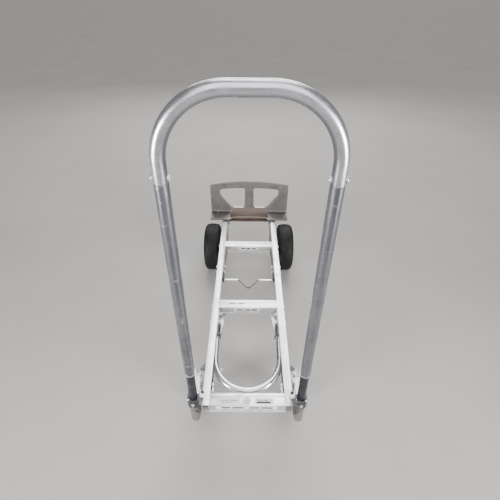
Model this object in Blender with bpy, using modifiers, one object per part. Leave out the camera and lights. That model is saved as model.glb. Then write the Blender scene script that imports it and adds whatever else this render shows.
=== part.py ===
"""Convertible aluminium hand truck, standing on four wheels as a platform cart.

Metres, +Z up, +X to the right, +Y from the handle end towards the nose plate.
The floor is Z = 0 and the origin is the bottom centre of the whole truck.
Most heights are given from the deck, the plane of the rail tops, and most
lengths from the frame's handle end; at() turns them into world coordinates.
"""
import math

import bmesh
import bpy
from mathutils import Matrix, Vector

GAP = 0.0003                      # between pieces that touch

# Frame
DECK = 0.260                      # rail tops above the floor
FRAME_WIDTH = 0.309
RAIL_WIDTH = 0.027
RAIL_HEIGHT = 0.038
RAIL_WALL = 0.0028
RAIL_LENGTH = 1.240
CROSSBAR_PITCH = 0.450
CROSSBAR_DEPTH = 0.046
CROSSBAR_HEIGHT = 0.032
CROSSBAR_WALL = 0.003
RAIL_OUTER = FRAME_WIDTH / 2
RAIL_INNER = RAIL_OUTER - RAIL_WIDTH

# Bolt holes, and where the bolts go: heights from the deck, lengths from the handle end
BOLT_HOLE = 0.0045                # radius, for M8
SMALL_HOLE = 0.0034               # radius, for M6
FLUSH_HOLE = 0.0076               # radius, where a bolt head sits inside a plate
BOLT_HEIGHT = -0.020
CROSSBAR_BOLT_HEIGHT = -0.017
PIVOT_BOLTS = (0.060, 0.088)
BRACE_BOLTS = (0.382, 0.431)
AXLE_BOLTS = (0.708, 0.752, 1.130)
NOSE_BOLTS = (1.170, 1.215)
CASTER_RAIL_BOLTS = (0.144, 0.182)
CASTER_RAIL_X = 0.1475

# Nose plate
NOSE_WIDTH = 0.457
NOSE_TOP = 0.212                  # crown of the arched top edge, above the deck
NOSE_CORNER = 0.190               # the same edge at its two ends
NOSE_THICKNESS = 0.010
HEEL_NEAR = 1.155
HEEL_TOP = 0.015
HEEL_INNER = 0.110
CHEEK_BOTTOM = -0.045

# Main wheels
AXLE_Y = 1.067
AXLE_RADIUS = 0.0079
AXLE_HALF = 0.2515
TYRE_RADIUS = 0.136
TYRE_WIDTH = 0.0895
WHEEL_X = 0.2087
HUB_HALF = 0.033
HUB_RADIUS = 0.022
BEARING_RADIUS = 0.0175
BEARING_WIDTH = 0.011
RIM_SEAT = 0.0508
BRACKET_PLATE = 0.005

# V-shaped strap under the rails
V_Y = 0.680
V_WIDTH = 0.016
V_THICKNESS = 0.003
V_HALF = 0.0525
V_DIP = 0.062
V_BOLT_X = 0.141

# Casters
CASTER_RADIUS = 0.0635
CASTER_WIDTH = 0.032
CASTER_X = 0.168
CASTER_Y = 0.150
CASTER_TRAIL = 0.035
CASTER_TOP = 0.163                # mounting face above the floor
CASTER_BOLT_X = 0.016
CASTER_BOLT_Y = 0.030
CASTER_PLATE_HALF = 0.027
GUSSETS = (0.1290, 0.2050)        # near faces; the first leaves room for the swinging foot
GUSSET_PLATE = 0.004
FORK_ARM = 0.003

# U-shaped tube brace
BRACE_RADIUS = 0.0135
BRACE_WALL = 0.0018
BRACE_X = 0.1286
BRACE_START_Y = 0.395
BRACE_START_Z = -0.0525
BRACE_BOTTOM_Y = 0.119
BRACE_SLOPE = 0.193
BRACE_BOLT_Y = 0.349
TIE_Y = 0.200                     # where it is bolted to the caster brackets

# Handle
LEG_X = 0.1765
LEG_Y = 0.004
LEG_RADIUS = 0.0157
SWAGE_RADIUS = 0.0140             # of a leg's reduced end, inside the loop
LEG_WALL = 0.0018
SWAGE_LENGTH = 0.035
LOOP_RADIUS = 0.0164
LOOP_BORE = 0.0149
LOOP_TOP = 0.9882
LOOP_CORNER = 0.138
LOOP_END = 0.8107
HANDLE_BOLT_Z = LOOP_END + 0.0108
LEG_BOTTOM = 0.1726
INNER_RADIUS = 0.0136
INNER_WALL = 0.0025
COLLAR_TOP = 0.048
COLLAR_BOTTOM = 0.010             # of its body; the pivot lug reaches down to the deck
LUG_TOP = 0.030
FOOT_RADIUS = 0.0155
FOOT_BOTTOM = -0.090

# Handle pivot, its slotted quadrant and the latch
PIVOT_Y = 0.035
PIVOT_Z = 0.012
PIVOT_RADIUS = 0.005
QUADRANT_RADIUS = 0.064
QUADRANT_PLATE = 0.0046
LOCK_Z = 0.055
LOCK_RADIUS = 0.004
LATCH_HINGE_Z = LEG_BOTTOM + 0.023

QUADRANT_NEAR = PIVOT_Y - QUADRANT_RADIUS
NOSE_FAR = RAIL_LENGTH + GAP + NOSE_THICKNESS
ORIGIN_Y = (QUADRANT_NEAR + NOSE_FAR) / 2

SIDES = (("left", -1), ("right", 1))
YZ = Matrix(((0, 0, 1), (1, 0, 0), (0, 1, 0)))     # local Z runs along world X
XZ = Matrix(((1, 0, 0), (0, 0, -1), (0, 1, 0)))    # local Z runs along world -Y
XY = Matrix.Identity(3)

ALUMINIUM = ((0.78, 0.78, 0.79), 1.0, 0.32)
CAST = ((0.42, 0.43, 0.42), 1.0, 0.50)
DULL_ALUMINIUM = ((0.45, 0.47, 0.50), 1.0, 0.38)
STEEL = ((0.62, 0.63, 0.65), 1.0, 0.28)
DARK_STEEL = ((0.16, 0.19, 0.23), 1.0, 0.42)
RUBBER = ((0.03, 0.03, 0.03), 0.0, 0.80)
GREY_RUBBER = ((0.22, 0.22, 0.23), 0.0, 0.70)
PLASTIC = ((0.30, 0.30, 0.31), 0.0, 0.45)


def at(x, y, z):
    """World point from frame coordinates: y from the handle end, z from the deck."""
    return Vector((x, y - ORIGIN_Y, z + DECK))


def make_collection(name):
    collection = bpy.data.collections.new(name)
    bpy.context.scene.collection.children.link(collection)
    return collection


def material(name, look):
    colour, metallic, roughness = look
    mat = bpy.data.materials.new(name)
    mat.use_nodes = True
    shader = mat.node_tree.nodes["Principled BSDF"]
    shader.inputs["Base Color"].default_value = (*colour, 1.0)
    shader.inputs["Metallic"].default_value = metallic
    shader.inputs["Roughness"].default_value = roughness
    return mat


def add(name, mesh, look):
    """Link a mesh as a named piece, or as a hidden guide where look is None."""
    obj = bpy.data.objects.new(name, mesh)
    if look is None:
        obj.hide_render = True
        obj.display_type = "WIRE"
        CUTTERS.objects.link(obj)
    else:
        obj.data.materials.append(material(name, look))
        PARTS.objects.link(obj)
    return obj


def finish_mesh(name, bm):
    bmesh.ops.recalc_face_normals(bm, faces=bm.faces)
    mesh = bpy.data.meshes.new(name)
    bm.to_mesh(mesh)
    bm.free()
    return mesh


def mesh_from_curve(name, curve):
    """Evaluate a curve and weld its caps, so that it is one closed mesh."""
    guide = bpy.data.objects.new(name, curve)
    CUTTERS.objects.link(guide)
    depsgraph = bpy.context.evaluated_depsgraph_get()
    mesh = bpy.data.meshes.new_from_object(guide.evaluated_get(depsgraph))
    bpy.data.objects.remove(guide, do_unlink=True)
    bm = bmesh.new()
    bm.from_mesh(mesh)
    bpy.data.meshes.remove(mesh)
    bmesh.ops.remove_doubles(bm, verts=bm.verts, dist=0.00001)
    return finish_mesh(name, bm)


def prism(name, loops, low, high, plane, look):
    """A flat outline, with holes as further loops, between two depths along its normal."""
    curve = bpy.data.curves.new(name, "CURVE")
    curve.dimensions = "2D"
    curve.fill_mode = "BOTH"
    curve.extrude = (high - low) / 2
    for loop in loops:
        spline = curve.splines.new("POLY")
        spline.points.add(len(loop) - 1)
        for point, (u, v) in zip(spline.points, loop):
            point.co = (u, v, 0, 1)
        spline.use_cyclic_u = True
    obj = add(name, mesh_from_curve(name, curve), look)
    normal = plane @ Vector((0, 0, 1))
    depth = (low + high) / 2
    middle = at(*(abs(c) * depth for c in normal))
    obj.matrix_world = Matrix.Translation(middle) @ plane.to_4x4()
    return obj


def box(name, low, high, look):
    """A block between two corners given in frame coordinates."""
    bm = bmesh.new()
    bmesh.ops.create_cube(bm, size=1.0)
    size = [b - a for a, b in zip(low, high)]
    centre = at(*[(a + b) / 2 for a, b in zip(low, high)])
    bmesh.ops.scale(bm, vec=size, verts=bm.verts)
    obj = add(name, finish_mesh(name, bm), look)
    obj.location = centre
    return obj


def rod(name, radius, length, centre, plane, look, segments=24):
    """A plain cylinder; its axis is the plane's normal."""
    bm = bmesh.new()
    bmesh.ops.create_cone(bm, cap_ends=True, segments=segments,
                          radius1=radius, radius2=radius, depth=length)
    obj = add(name, finish_mesh(name, bm), look)
    obj.matrix_world = Matrix.Translation(centre) @ plane.to_4x4()
    return obj


def lathe(name, profile, centre, plane, look, segments=24):
    """Turn a closed profile of (radius, height) points; it runs down its outer side."""
    mesh = bpy.data.meshes.new(name)
    points = [(radius, 0, height) for radius, height in profile]
    edges = [(i, (i + 1) % len(points)) for i in range(len(points))]
    mesh.from_pydata(points, edges, [])
    obj = add(name, mesh, look)
    turn = obj.modifiers.new("turn", "SCREW")
    turn.axis = "Z"
    turn.steps = segments
    turn.render_steps = segments
    turn.use_merge_vertices = True
    turn.merge_threshold = 0.00001
    obj.matrix_world = Matrix.Translation(centre) @ plane.to_4x4()
    return obj


def ring(outer, inner, low, high):
    """Profile of a plain ring, in the order that lathe() wants."""
    return [(outer, high), (outer, low), (inner, low), (inner, high)]


def tube(name, points, radius, look, resolution=3):
    """A swept round bar through world points, with closed ends."""
    curve = bpy.data.curves.new(name, "CURVE")
    curve.dimensions = "3D"
    curve.bevel_depth = radius
    curve.bevel_resolution = resolution
    curve.use_fill_caps = True
    spline = curve.splines.new("POLY")
    spline.points.add(len(points) - 1)
    for point, co in zip(spline.points, points):
        point.co = (*co, 1)
    return add(name, mesh_from_curve(name, curve), look)


def boolean(obj, other, operation):
    modifier = obj.modifiers.new(operation.lower(), "BOOLEAN")
    modifier.operation = operation
    modifier.object = other
    modifier.solver = "EXACT"


def join(obj, *others):
    for other in others:
        boolean(obj, other, "UNION")


def drill(obj, holes, axis, length=0.060, segments=8):
    """Cut round holes, given as (world point, radius), along one axis."""
    bm = bmesh.new()
    turn = {"x": YZ, "y": XZ, "z": XY}[axis].to_4x4()
    for point, radius in holes:
        bmesh.ops.create_cone(bm, cap_ends=True, segments=segments, radius1=radius,
                              radius2=radius, depth=length,
                              matrix=Matrix.Translation(point) @ turn)
    name = f"{obj.name}_{axis}_holes"
    boolean(obj, add(name, finish_mesh(name, bm), None), "DIFFERENCE")


def stack(bm, point, direction, sections, segments):
    """A stepped bar along X: sections are (radius, distance along direction)."""
    direction, side = Vector(direction), Vector((0, 0, 1))
    other = direction.cross(side)
    angles = [math.tau * i / segments for i in range(segments)]
    rings = []
    for radius, distance in sections:
        middle = point + direction * distance
        rings.append([bm.verts.new(middle + (side * math.cos(a) + other * math.sin(a)) * radius)
                      for a in angles])
    for first, second in zip(rings, rings[1:]):
        for i in range(segments):
            j = (i + 1) % segments
            bm.faces.new((first[i], first[j], second[j], second[i]))
    bm.faces.new(list(reversed(rings[0])))
    bm.faces.new(rings[-1])


def turned_pin(name, point, side, sections):
    """A round stepped pin that points outboard from the given point."""
    bm = bmesh.new()
    stack(bm, point, (side, 0, 0), sections, 16)
    add(name, finish_mesh(name, bm), STEEL)


def hex_bolt(name, point, direction, grip, shank, hexagon, head, nut):
    """A bolt whose head seats at the point, with its nut at the far end of the grip."""
    bm = bmesh.new()
    stack(bm, point, direction,
          [(hexagon, -GAP - head), (hexagon, -GAP), (shank, -GAP), (shank, grip + GAP),
           (hexagon, grip + GAP), (hexagon, grip + GAP + nut)], 6)
    add(name, finish_mesh(name, bm), STEEL)


def arc(centre, radius, start, end, steps):
    """Points on an arc, in degrees, with both ends."""
    angles = [math.radians(start + (end - start) * i / steps) for i in range(steps + 1)]
    return [(centre[0] + radius * math.cos(a), centre[1] + radius * math.sin(a)) for a in angles]


def span(side, near, far):
    """A stretch along X on one side of the truck, low end first."""
    return sorted((side * near, side * far))


# ---------------------------------------------------------------- frame

CROSSBARS = (("handle_end_crossbar", 0.0), ("middle_crossbar", CROSSBAR_PITCH),
             ("nose_end_crossbar", 2 * CROSSBAR_PITCH))


def crossbar_bolt_places():
    return [(start + CROSSBAR_DEPTH / 2, CROSSBAR_BOLT_HEIGHT) for _, start in CROSSBARS]


def build_rails():
    half, height = RAIL_WIDTH / 2, RAIL_HEIGHT
    wall = RAIL_WALL
    centre_x = RAIL_OUTER - half
    for label, side in SIDES:
        outer = [(centre_x * side - half, -height), (centre_x * side + half, -height),
                 (centre_x * side + half, 0), (centre_x * side - half, 0)]
        inner = [(centre_x * side - half + wall, -height + wall),
                 (centre_x * side + half - wall, -height + wall),
                 (centre_x * side + half - wall, -wall), (centre_x * side - half + wall, -wall)]
        rail = prism(f"{label}_rail", [outer, inner], 0, RAIL_LENGTH, XZ, ALUMINIUM)
        along = [(y, BOLT_HEIGHT) for y in PIVOT_BOLTS + BRACE_BOLTS + AXLE_BOLTS + NOSE_BOLTS]
        places = along + crossbar_bolt_places()
        drill(rail, [(at(side * centre_x, y, z), BOLT_HOLE) for y, z in places], "x")
        below = [(at(side * CASTER_RAIL_X, y, -height), SMALL_HOLE) for y in CASTER_RAIL_BOLTS]
        below.append((at(side * V_BOLT_X, V_Y, -height), SMALL_HOLE))
        drill(rail, below, "z", length=0.012)


def build_crossbars():
    depth, height, wall = CROSSBAR_DEPTH, CROSSBAR_HEIGHT, CROSSBAR_WALL
    groove, groove_at = 0.0012, 0.031
    middle, web, boss = depth / 2, 0.002, 0.007
    top, bottom = -0.0095, -0.0245
    profile = [(0, -height), (0, 0), (groove_at, 0), (groove_at + groove / 2, -groove),
               (groove_at + 1.5 * groove, -groove), (groove_at + 2 * groove, 0), (depth, 0),
               (depth, -height), (depth - wall, -height), (depth - wall, -wall),
               (middle + web, -wall), (middle + web, top), (middle + boss, top),
               (middle + boss, bottom), (middle - boss, bottom), (middle - boss, top),
               (middle - web, top), (middle - web, -wall - 0.0003), (wall, -wall - 0.0003),
               (wall, -height)]
    half = RAIL_INNER - GAP
    for name, start in CROSSBARS:
        loop = [(start + y, z) for y, z in profile]
        bar = prism(name, [loop], -half, half, YZ, ALUMINIUM)
        ends = [(at(side * half, start + middle, CROSSBAR_BOLT_HEIGHT), 0.0043) for _, side in SIDES]
        drill(bar, ends, "x", length=0.050)


# ---------------------------------------------------------------- nose plate

def nose_window(side):
    """One window of the blade: arched top, upright outer edge, slanted lower corner."""
    top = [(0.0255, 0.163), (0.033, 0.1707), (0.100, 0.1675), (0.158, 0.1615)]
    outer = [(0.168, 0.158), (0.172, 0.147), (0.170, 0.128), (0.104, 0.048), (0.098, 0.042)]
    loop = top + outer + [(0.036, 0.042), (0.028, 0.050)]
    return [(side * x, z) for x, z in loop]


def build_nose_plate():
    half = NOSE_WIDTH / 2
    steps = 10
    low, high = RAIL_LENGTH + GAP, NOSE_FAR
    crown = [(half * (1 - 2 * i / steps) * 0.985,
              NOSE_CORNER + (NOSE_TOP - NOSE_CORNER) * (1 - (1 - 2 * i / steps) ** 2))
             for i in range(steps + 1)]
    centre_bottom = [(-half, GAP), (-RAIL_OUTER, GAP), (-RAIL_OUTER, CHEEK_BOTTOM),
                     (RAIL_OUTER, CHEEK_BOTTOM), (RAIL_OUTER, 2 * GAP), (half, 2 * GAP)]
    outline = centre_bottom + [(half, NOSE_CORNER - 0.008)] + crown + [(-half, NOSE_CORNER - 0.008)]
    plate = prism("nose_plate", [outline, nose_window(-1), nose_window(1)], low, high, XZ, CAST)
    overlap = 0.004
    lip = box("nose_lip", (-HEEL_INNER, low - 0.036, CHEEK_BOTTOM + 0.0005),
              (HEEL_INNER, low + overlap, CHEEK_BOTTOM + 0.007), None)
    join(plate, lip)
    for label, side in SIDES:
        x0, x1 = span(side, HEEL_INNER, half - 0.001)
        shelf = box(f"{label}_heel_shelf", (x0, HEEL_NEAR, 3 * GAP), (x1, low + overlap, HEEL_TOP), None)
        x0, x1 = span(side, RAIL_INNER - 0.010, RAIL_INNER - GAP)
        cheek = box(f"{label}_cheek", (x0, 1.152, CHEEK_BOTTOM + 0.001), (x1, low + overlap, 0.004), None)
        join(plate, shelf, cheek)
    holes = [(at(side * (RAIL_INNER - 0.005), y, BOLT_HEIGHT), BOLT_HOLE)
             for _, side in SIDES for y in NOSE_BOLTS]
    drill(plate, holes, "x", length=0.020)


# ---------------------------------------------------------------- axle and wheels

def build_axle_brackets():
    """Triangular castings inside the rails; each carries the axle at its lower corner."""
    boss, axle_z = 0.024, TYRE_RADIUS - DECK
    hanger = arc((AXLE_Y, axle_z), boss, -20, -160, 10)
    bar_near, bar_far = 2 * CROSSBAR_PITCH - 0.004, 2 * CROSSBAR_PITCH + CROSSBAR_DEPTH + 0.004
    under_bar = -CROSSBAR_HEIGHT - 0.0025
    outline = [(0.690, -0.004), (bar_near, -0.004), (bar_near, under_bar), (bar_far, under_bar),
               (bar_far, -0.004), (1.148, -0.004), (1.148, -0.036), *hanger, (0.730, -0.036),
               (0.690, -0.030)]
    windows = ([(0.895, -0.044), (0.985, -0.044), (0.985, -0.080)],
               [(1.005, -0.044), (1.100, -0.044), (1.086, -0.084), (1.050, -0.084), (1.005, -0.076)])
    for label, side in SIDES:
        x0, x1 = span(side, RAIL_INNER - GAP, RAIL_INNER - GAP - BRACKET_PLATE)
        plate = prism(f"{label}_axle_bracket", [outline, *windows], x0, x1, YZ, CAST)
        drill(plate, [(at(side * RAIL_INNER, y, BOLT_HEIGHT), BOLT_HOLE) for y in AXLE_BOLTS], "x")
        drill(plate, [(at(side * RAIL_INNER, AXLE_Y, axle_z), AXLE_RADIUS + GAP)], "x", segments=16)


def build_v_brace():
    """Flat strap under both rails, dipping in a round-bottomed V towards the handle."""
    reach, bend = 0.150, 0.012
    curve = V_DIP / (bend * (2 * V_HALF - bend))       # meets the straight sides smoothly
    bottom = [(bend * i / 2, V_Y - V_DIP + curve * (bend * i / 2) ** 2) for i in range(-2, 3)]
    middle = [(-reach, V_Y), (-V_HALF, V_Y), *bottom, (V_HALF, V_Y), (reach, V_Y)]
    near = [(x, y - V_WIDTH / 2) for x, y in middle]
    far = [(x, y + V_WIDTH / 2) for x, y in reversed(middle)]
    top = -RAIL_HEIGHT - GAP
    strap = prism("v_brace", [near + far], top - V_THICKNESS, top, XY, DULL_ALUMINIUM)
    drill(strap, [(at(side * V_BOLT_X, V_Y, top), SMALL_HOLE) for _, side in SIDES], "z", length=0.020)


def build_axle():
    centre = Vector((0, AXLE_Y - ORIGIN_Y, TYRE_RADIUS))
    axle = rod("axle", AXLE_RADIUS, 2 * AXLE_HALF, centre, YZ, STEEL)
    pin_x = AXLE_HALF - 0.0045
    drill(axle, [(centre + Vector((side * pin_x, 0, 0)), 0.0021) for _, side in SIDES], "z")
    hub_inner, hub_outer = WHEEL_X - HUB_HALF, WHEEL_X + HUB_HALF
    bore = AXLE_RADIUS + 0.0005
    for label, side in SIDES:
        spacer_centre = centre + Vector((side * (RAIL_INNER + hub_inner) / 2, 0, 0))
        half = (hub_inner - RAIL_INNER) / 2 - GAP
        lathe(f"{label}_axle_spacer", ring(0.0120, bore, -half, half), spacer_centre, YZ, STEEL, 16)
        washer_centre = centre + Vector((side * (hub_outer + 0.0016), 0, 0))
        lathe(f"{label}_axle_washer", ring(0.0130, bore, -0.001, 0.001), washer_centre, YZ, STEEL, 16)
        pin_centre = centre + Vector((side * pin_x, 0, 0))
        rod(f"{label}_cotter_pin", 0.0016, 0.026, pin_centre, XY, STEEL, segments=12)


def tyre_profile():
    """Open-bottomed pneumatic tyre: tread, shoulders, side walls and beads."""
    half = TYRE_WIDTH / 2
    bead = RIM_SEAT + GAP
    right = [(TYRE_RADIUS, 0), (TYRE_RADIUS - 0.004, 0.0265), (TYRE_RADIUS - 0.018, 0.041),
             (TYRE_RADIUS - 0.040, half), (0.072, 0.040), (0.060, 0.0333), (bead, 0.0330),
             (bead, 0.0260), (0.075, 0.034), (0.100, 0.039), (0.122, 0.030), (0.129, 0)]
    skin, lining = right[1:7], right[7:-1]
    return ([*reversed(skin), right[0]] + [(r, -a) for r, a in skin]
            + [(r, -a) for r, a in lining] + [right[-1], *reversed(lining)])


def rim_profile():
    """Pressed rim: two flanges, a bead seat and a central web down to the hub."""
    flange, seat, web = 0.0585, RIM_SEAT, 0.0025
    inner = HUB_RADIUS + GAP
    return [(flange, 0.0365), (flange, 0.0340), (seat, 0.0335), (seat, -0.0335), (flange, -0.0340),
            (flange, -0.0365), (seat - 0.004, -0.0365), (seat - 0.004, -web), (inner, -web),
            (inner, web), (seat - 0.004, web), (seat - 0.004, 0.0365)]


def hub_profile():
    """Hub tube with a bearing seat at each end."""
    bore, seat, step = 0.0120, BEARING_RADIUS + GAP, HUB_HALF - BEARING_WIDTH - GAP
    return [(HUB_RADIUS, HUB_HALF), (HUB_RADIUS, -HUB_HALF), (seat, -HUB_HALF), (seat, -step),
            (bore, -step), (bore, step), (seat, step), (seat, HUB_HALF)]


def build_wheels():
    for label, side in SIDES:
        centre = Vector((side * WHEEL_X, AXLE_Y - ORIGIN_Y, TYRE_RADIUS))
        lathe(f"{label}_tyre", tyre_profile(), centre, YZ, RUBBER, segments=32)
        lathe(f"{label}_rim", rim_profile(), centre, YZ, PLASTIC, segments=32)
        lathe(f"{label}_hub", hub_profile(), centre, YZ, STEEL, segments=16)
        for place, end in (("inner", -side), ("outer", side)):
            offset = Vector((end * (HUB_HALF - BEARING_WIDTH / 2), 0, 0))
            shell = ring(BEARING_RADIUS, AXLE_RADIUS + GAP, -BEARING_WIDTH / 2, BEARING_WIDTH / 2)
            lathe(f"{label}_{place}_bearing", shell, centre + offset, YZ, STEEL, 16)


# ---------------------------------------------------------------- casters

def build_caster_brackets():
    """Pressed brackets under the rails that carry the casters outboard."""
    top, flange = -RAIL_HEIGHT - GAP, 0.004
    bottom = CASTER_TOP - DECK
    near, far, edge = 0.104, 0.210, CASTER_X + CASTER_PLATE_HALF + 0.001
    for label, side in SIDES:
        web = [(0.138, bottom), (edge, bottom), (edge, bottom + flange), (0.142, bottom + flange),
               (0.142, top - flange), (0.153, top - flange), (0.153, top), (0.130, top),
               (0.130, top - flange + 0.0005), (0.138, top - flange + 0.0005)]
        loop = [(side * x, z) for x, z in web]
        bracket = prism(f"{label}_caster_bracket", [loop], near, far, XZ, DULL_ALUMINIUM)
        for number, y in enumerate(GUSSETS):
            gusset = [(0.141, top - 0.002), (0.152, top - 0.002), (edge - 0.006, bottom + 0.002),
                      (0.141, bottom + 0.002)]
            corner = prism(f"{label}_gusset_{number}", [[(side * x, z) for x, z in gusset]],
                           y, y + GUSSET_PLATE, XZ, None)
            join(bracket, corner)
        plate_holes = [(at(side * CASTER_X + dx, CASTER_Y + dy, bottom), BOLT_HOLE)
                       for dx in (-CASTER_BOLT_X, CASTER_BOLT_X) for dy in (-CASTER_BOLT_Y, CASTER_BOLT_Y)]
        drill(bracket, plate_holes, "z", length=0.020)
        rail_holes = [(at(side * CASTER_RAIL_X, y, top), SMALL_HOLE) for y in CASTER_RAIL_BOLTS]
        drill(bracket, rail_holes, "z", length=0.014)
        drill(bracket, [(tie_point(side, 0.140), SMALL_HOLE)], "x", length=0.020)


def brace_height(y):
    return BRACE_START_Z - (BRACE_START_Y - y) * BRACE_SLOPE



def tie_point(side, x):
    """Where the brace is tied to the caster bracket."""
    return at(side * x, TIE_Y, brace_height(TIE_Y))


def build_caster_plates():
    """Top plate, upper race and king pin of each caster."""
    for label, side in SIDES:
        x0, x1 = side * CASTER_X - CASTER_PLATE_HALF, side * CASTER_X + CASTER_PLATE_HALF
        low, high = CASTER_TOP - GAP - 0.0045 - DECK, CASTER_TOP - GAP - DECK
        plate = box(f"{label}_caster_plate", (x0, CASTER_Y - 0.046, low),
                    (x1, CASTER_Y + 0.046, high), STEEL)
        race = [(0.024, 0.001), (0.024, -0.007), (0.0060, -0.0075), (0.0060, -0.0128),
                (0.0100, -0.0128), (0.0100, -0.0165), (0.0001, -0.0170), (0.0001, 0.001)]
        pin = lathe(f"{label}_king_pin", race, at(side * CASTER_X, CASTER_Y, low), XY, None, segments=16)
        join(plate, pin)
        holes = [(at(side * CASTER_X + dx, CASTER_Y + dy, low), BOLT_HOLE)
                 for dx in (-CASTER_BOLT_X, CASTER_BOLT_X) for dy in (-CASTER_BOLT_Y, CASTER_BOLT_Y)]
        drill(plate, holes, "z", length=0.020)


def build_forks():
    for label, side in SIDES:
        top = CASTER_TOP - 0.0128 - DECK
        low = top - 0.0040
        x = side * CASTER_X
        axle_y, axle_z = CASTER_Y + CASTER_TRAIL, CASTER_RADIUS - DECK
        reach = CASTER_WIDTH / 2 + 0.0040
        crown = [(x + u, v) for u, v in ((-reach, CASTER_Y - 0.024), (reach, CASTER_Y - 0.024),
                                         (reach, CASTER_Y + 0.040), (-reach, CASTER_Y + 0.040))]
        fork = prism(f"{label}_caster_fork", [crown], low, top, XY, STEEL)
        boss = arc((axle_y, axle_z), 0.013, -170, 0, 8)
        arm = [(CASTER_Y - 0.022, top - 0.0005), (CASTER_Y - 0.022, low - 0.014), *boss,
               (CASTER_Y + 0.040, low - 0.006), (CASTER_Y + 0.040, top - 0.0005)]
        for number, turn in enumerate((-1, 1)):
            inner = x + turn * (reach - FORK_ARM)
            outer = x + turn * reach
            plate = prism(f"{label}_fork_arm_{number}", [arm], min(inner, outer), max(inner, outer),
                          YZ, None)
            join(fork, plate)
        drill(fork, [(at(x, CASTER_Y, top), 0.0064)], "z", length=0.020, segments=16)
        drill(fork, [(at(x, axle_y, axle_z), 0.0055)], "x", length=0.060)


def build_caster_wheels():
    half = CASTER_WIDTH / 2
    tread_inner, core_half = 0.047, half + 0.0004
    for label, side in SIDES:
        centre = at(side * CASTER_X, CASTER_Y + CASTER_TRAIL, CASTER_RADIUS - DECK)
        tread = [(CASTER_RADIUS - 0.004, half), (CASTER_RADIUS, half - 0.006),
                 (CASTER_RADIUS, 0.006 - half),
                 (CASTER_RADIUS - 0.004, -half), (tread_inner, -half), (tread_inner, half)]
        lathe(f"{label}_caster_tread", tread, centre, YZ, GREY_RUBBER, segments=32)
        rim, web, hub = tread_inner - GAP, 0.005, 0.016
        core = [(rim, half - 0.001), (rim, 0.001 - half), (rim - 0.006, 0.001 - half), (rim - 0.006, -web),
                (hub, -web), (hub, -core_half), (0.0060, -core_half), (0.0060, core_half),
                (hub, core_half), (hub, web), (rim - 0.006, web), (rim - 0.006, half - 0.001)]
        lathe(f"{label}_caster_core", core, centre, YZ, PLASTIC, segments=16)
        outer = half + 0.0040
        hex_bolt(f"{label}_caster_axle", centre + Vector((side * outer, 0, 0)), (-side, 0, 0), 2 * outer,
                 shank=0.0050, hexagon=0.0085, head=0.005, nut=0.006)


# ---------------------------------------------------------------- U-shaped brace

def brace_path(extend=0.0):
    """Straight legs and a half-round bend, all in one sloping plane."""
    lean = math.cos(math.atan(BRACE_SLOPE))
    bend_y = BRACE_BOTTOM_Y + BRACE_X * lean
    turn = [(BRACE_X * math.cos(math.radians(a)), bend_y + BRACE_X * lean * math.sin(math.radians(a)))
            for a in range(0, -181, -15)]
    plan = [(BRACE_X, BRACE_START_Y + extend), *turn, (-BRACE_X, BRACE_START_Y + extend)]
    return [at(x, y, brace_height(y)) for x, y in plan]


def build_brace():
    brace = tube("u_brace", brace_path(), BRACE_RADIUS, ALUMINIUM)
    boolean(brace, tube("u_brace_bore", brace_path(0.004), BRACE_RADIUS - BRACE_WALL, None), "DIFFERENCE")
    ends = [(at(side * BRACE_X, BRACE_BOLT_Y, brace_height(BRACE_BOLT_Y)), SMALL_HOLE)
            for _, side in SIDES]
    drill(brace, ends, "x")
    drill(brace, [(tie_point(side, 0.120), SMALL_HOLE) for _, side in SIDES], "x", length=0.034)


def build_brace_clamps():
    """Angle brackets at the middle crossbar that hold the ends of the brace."""
    near, far = 0.336, 0.447
    shelf_low, shelf_high = -0.0372, -0.0342
    wall, tongue_x = RAIL_INNER - GAP, BRACE_X - BRACE_RADIUS - GAP
    for label, side in SIDES:
        x0, x1 = span(side, wall, wall - 0.004)
        clamp = prism(f"{label}_brace_clamp",
                      [[(near, shelf_low), (far, shelf_low), (far, -0.006), (near + 0.030, -0.006),
                        (near, -0.024)]], x0, x1, YZ, ALUMINIUM)
        loop = [(wall - 0.001, near), (wall - 0.001, far), (0.098, far), (0.112, near)]
        shelf = prism(f"{label}_clamp_shelf", [[(side * x, y) for x, y in loop]],
                      shelf_low, shelf_high, XY, None)
        x0, x1 = span(side, tongue_x - 0.0035, tongue_x)
        tongue = box(f"{label}_clamp_tongue", (x0, near, -0.074), (x1, near + 0.028, -0.0345), None)
        join(clamp, shelf, tongue)
        holes = [(at(side * wall, y, BOLT_HEIGHT), BOLT_HOLE) for y in BRACE_BOLTS]
        drill(clamp, holes, "x", length=0.020)
        end = at(side * tongue_x, BRACE_BOLT_Y, brace_height(BRACE_BOLT_Y))
        drill(clamp, [(end, SMALL_HOLE)], "x", length=0.012)


# ---------------------------------------------------------------- handle pivot

def lock_angle():
    return math.degrees(math.atan2(LOCK_Z - PIVOT_Z, LEG_Y - PIVOT_Y))


def lock_reach():
    return math.hypot(LOCK_Z - PIVOT_Z, LEG_Y - PIVOT_Y)


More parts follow.
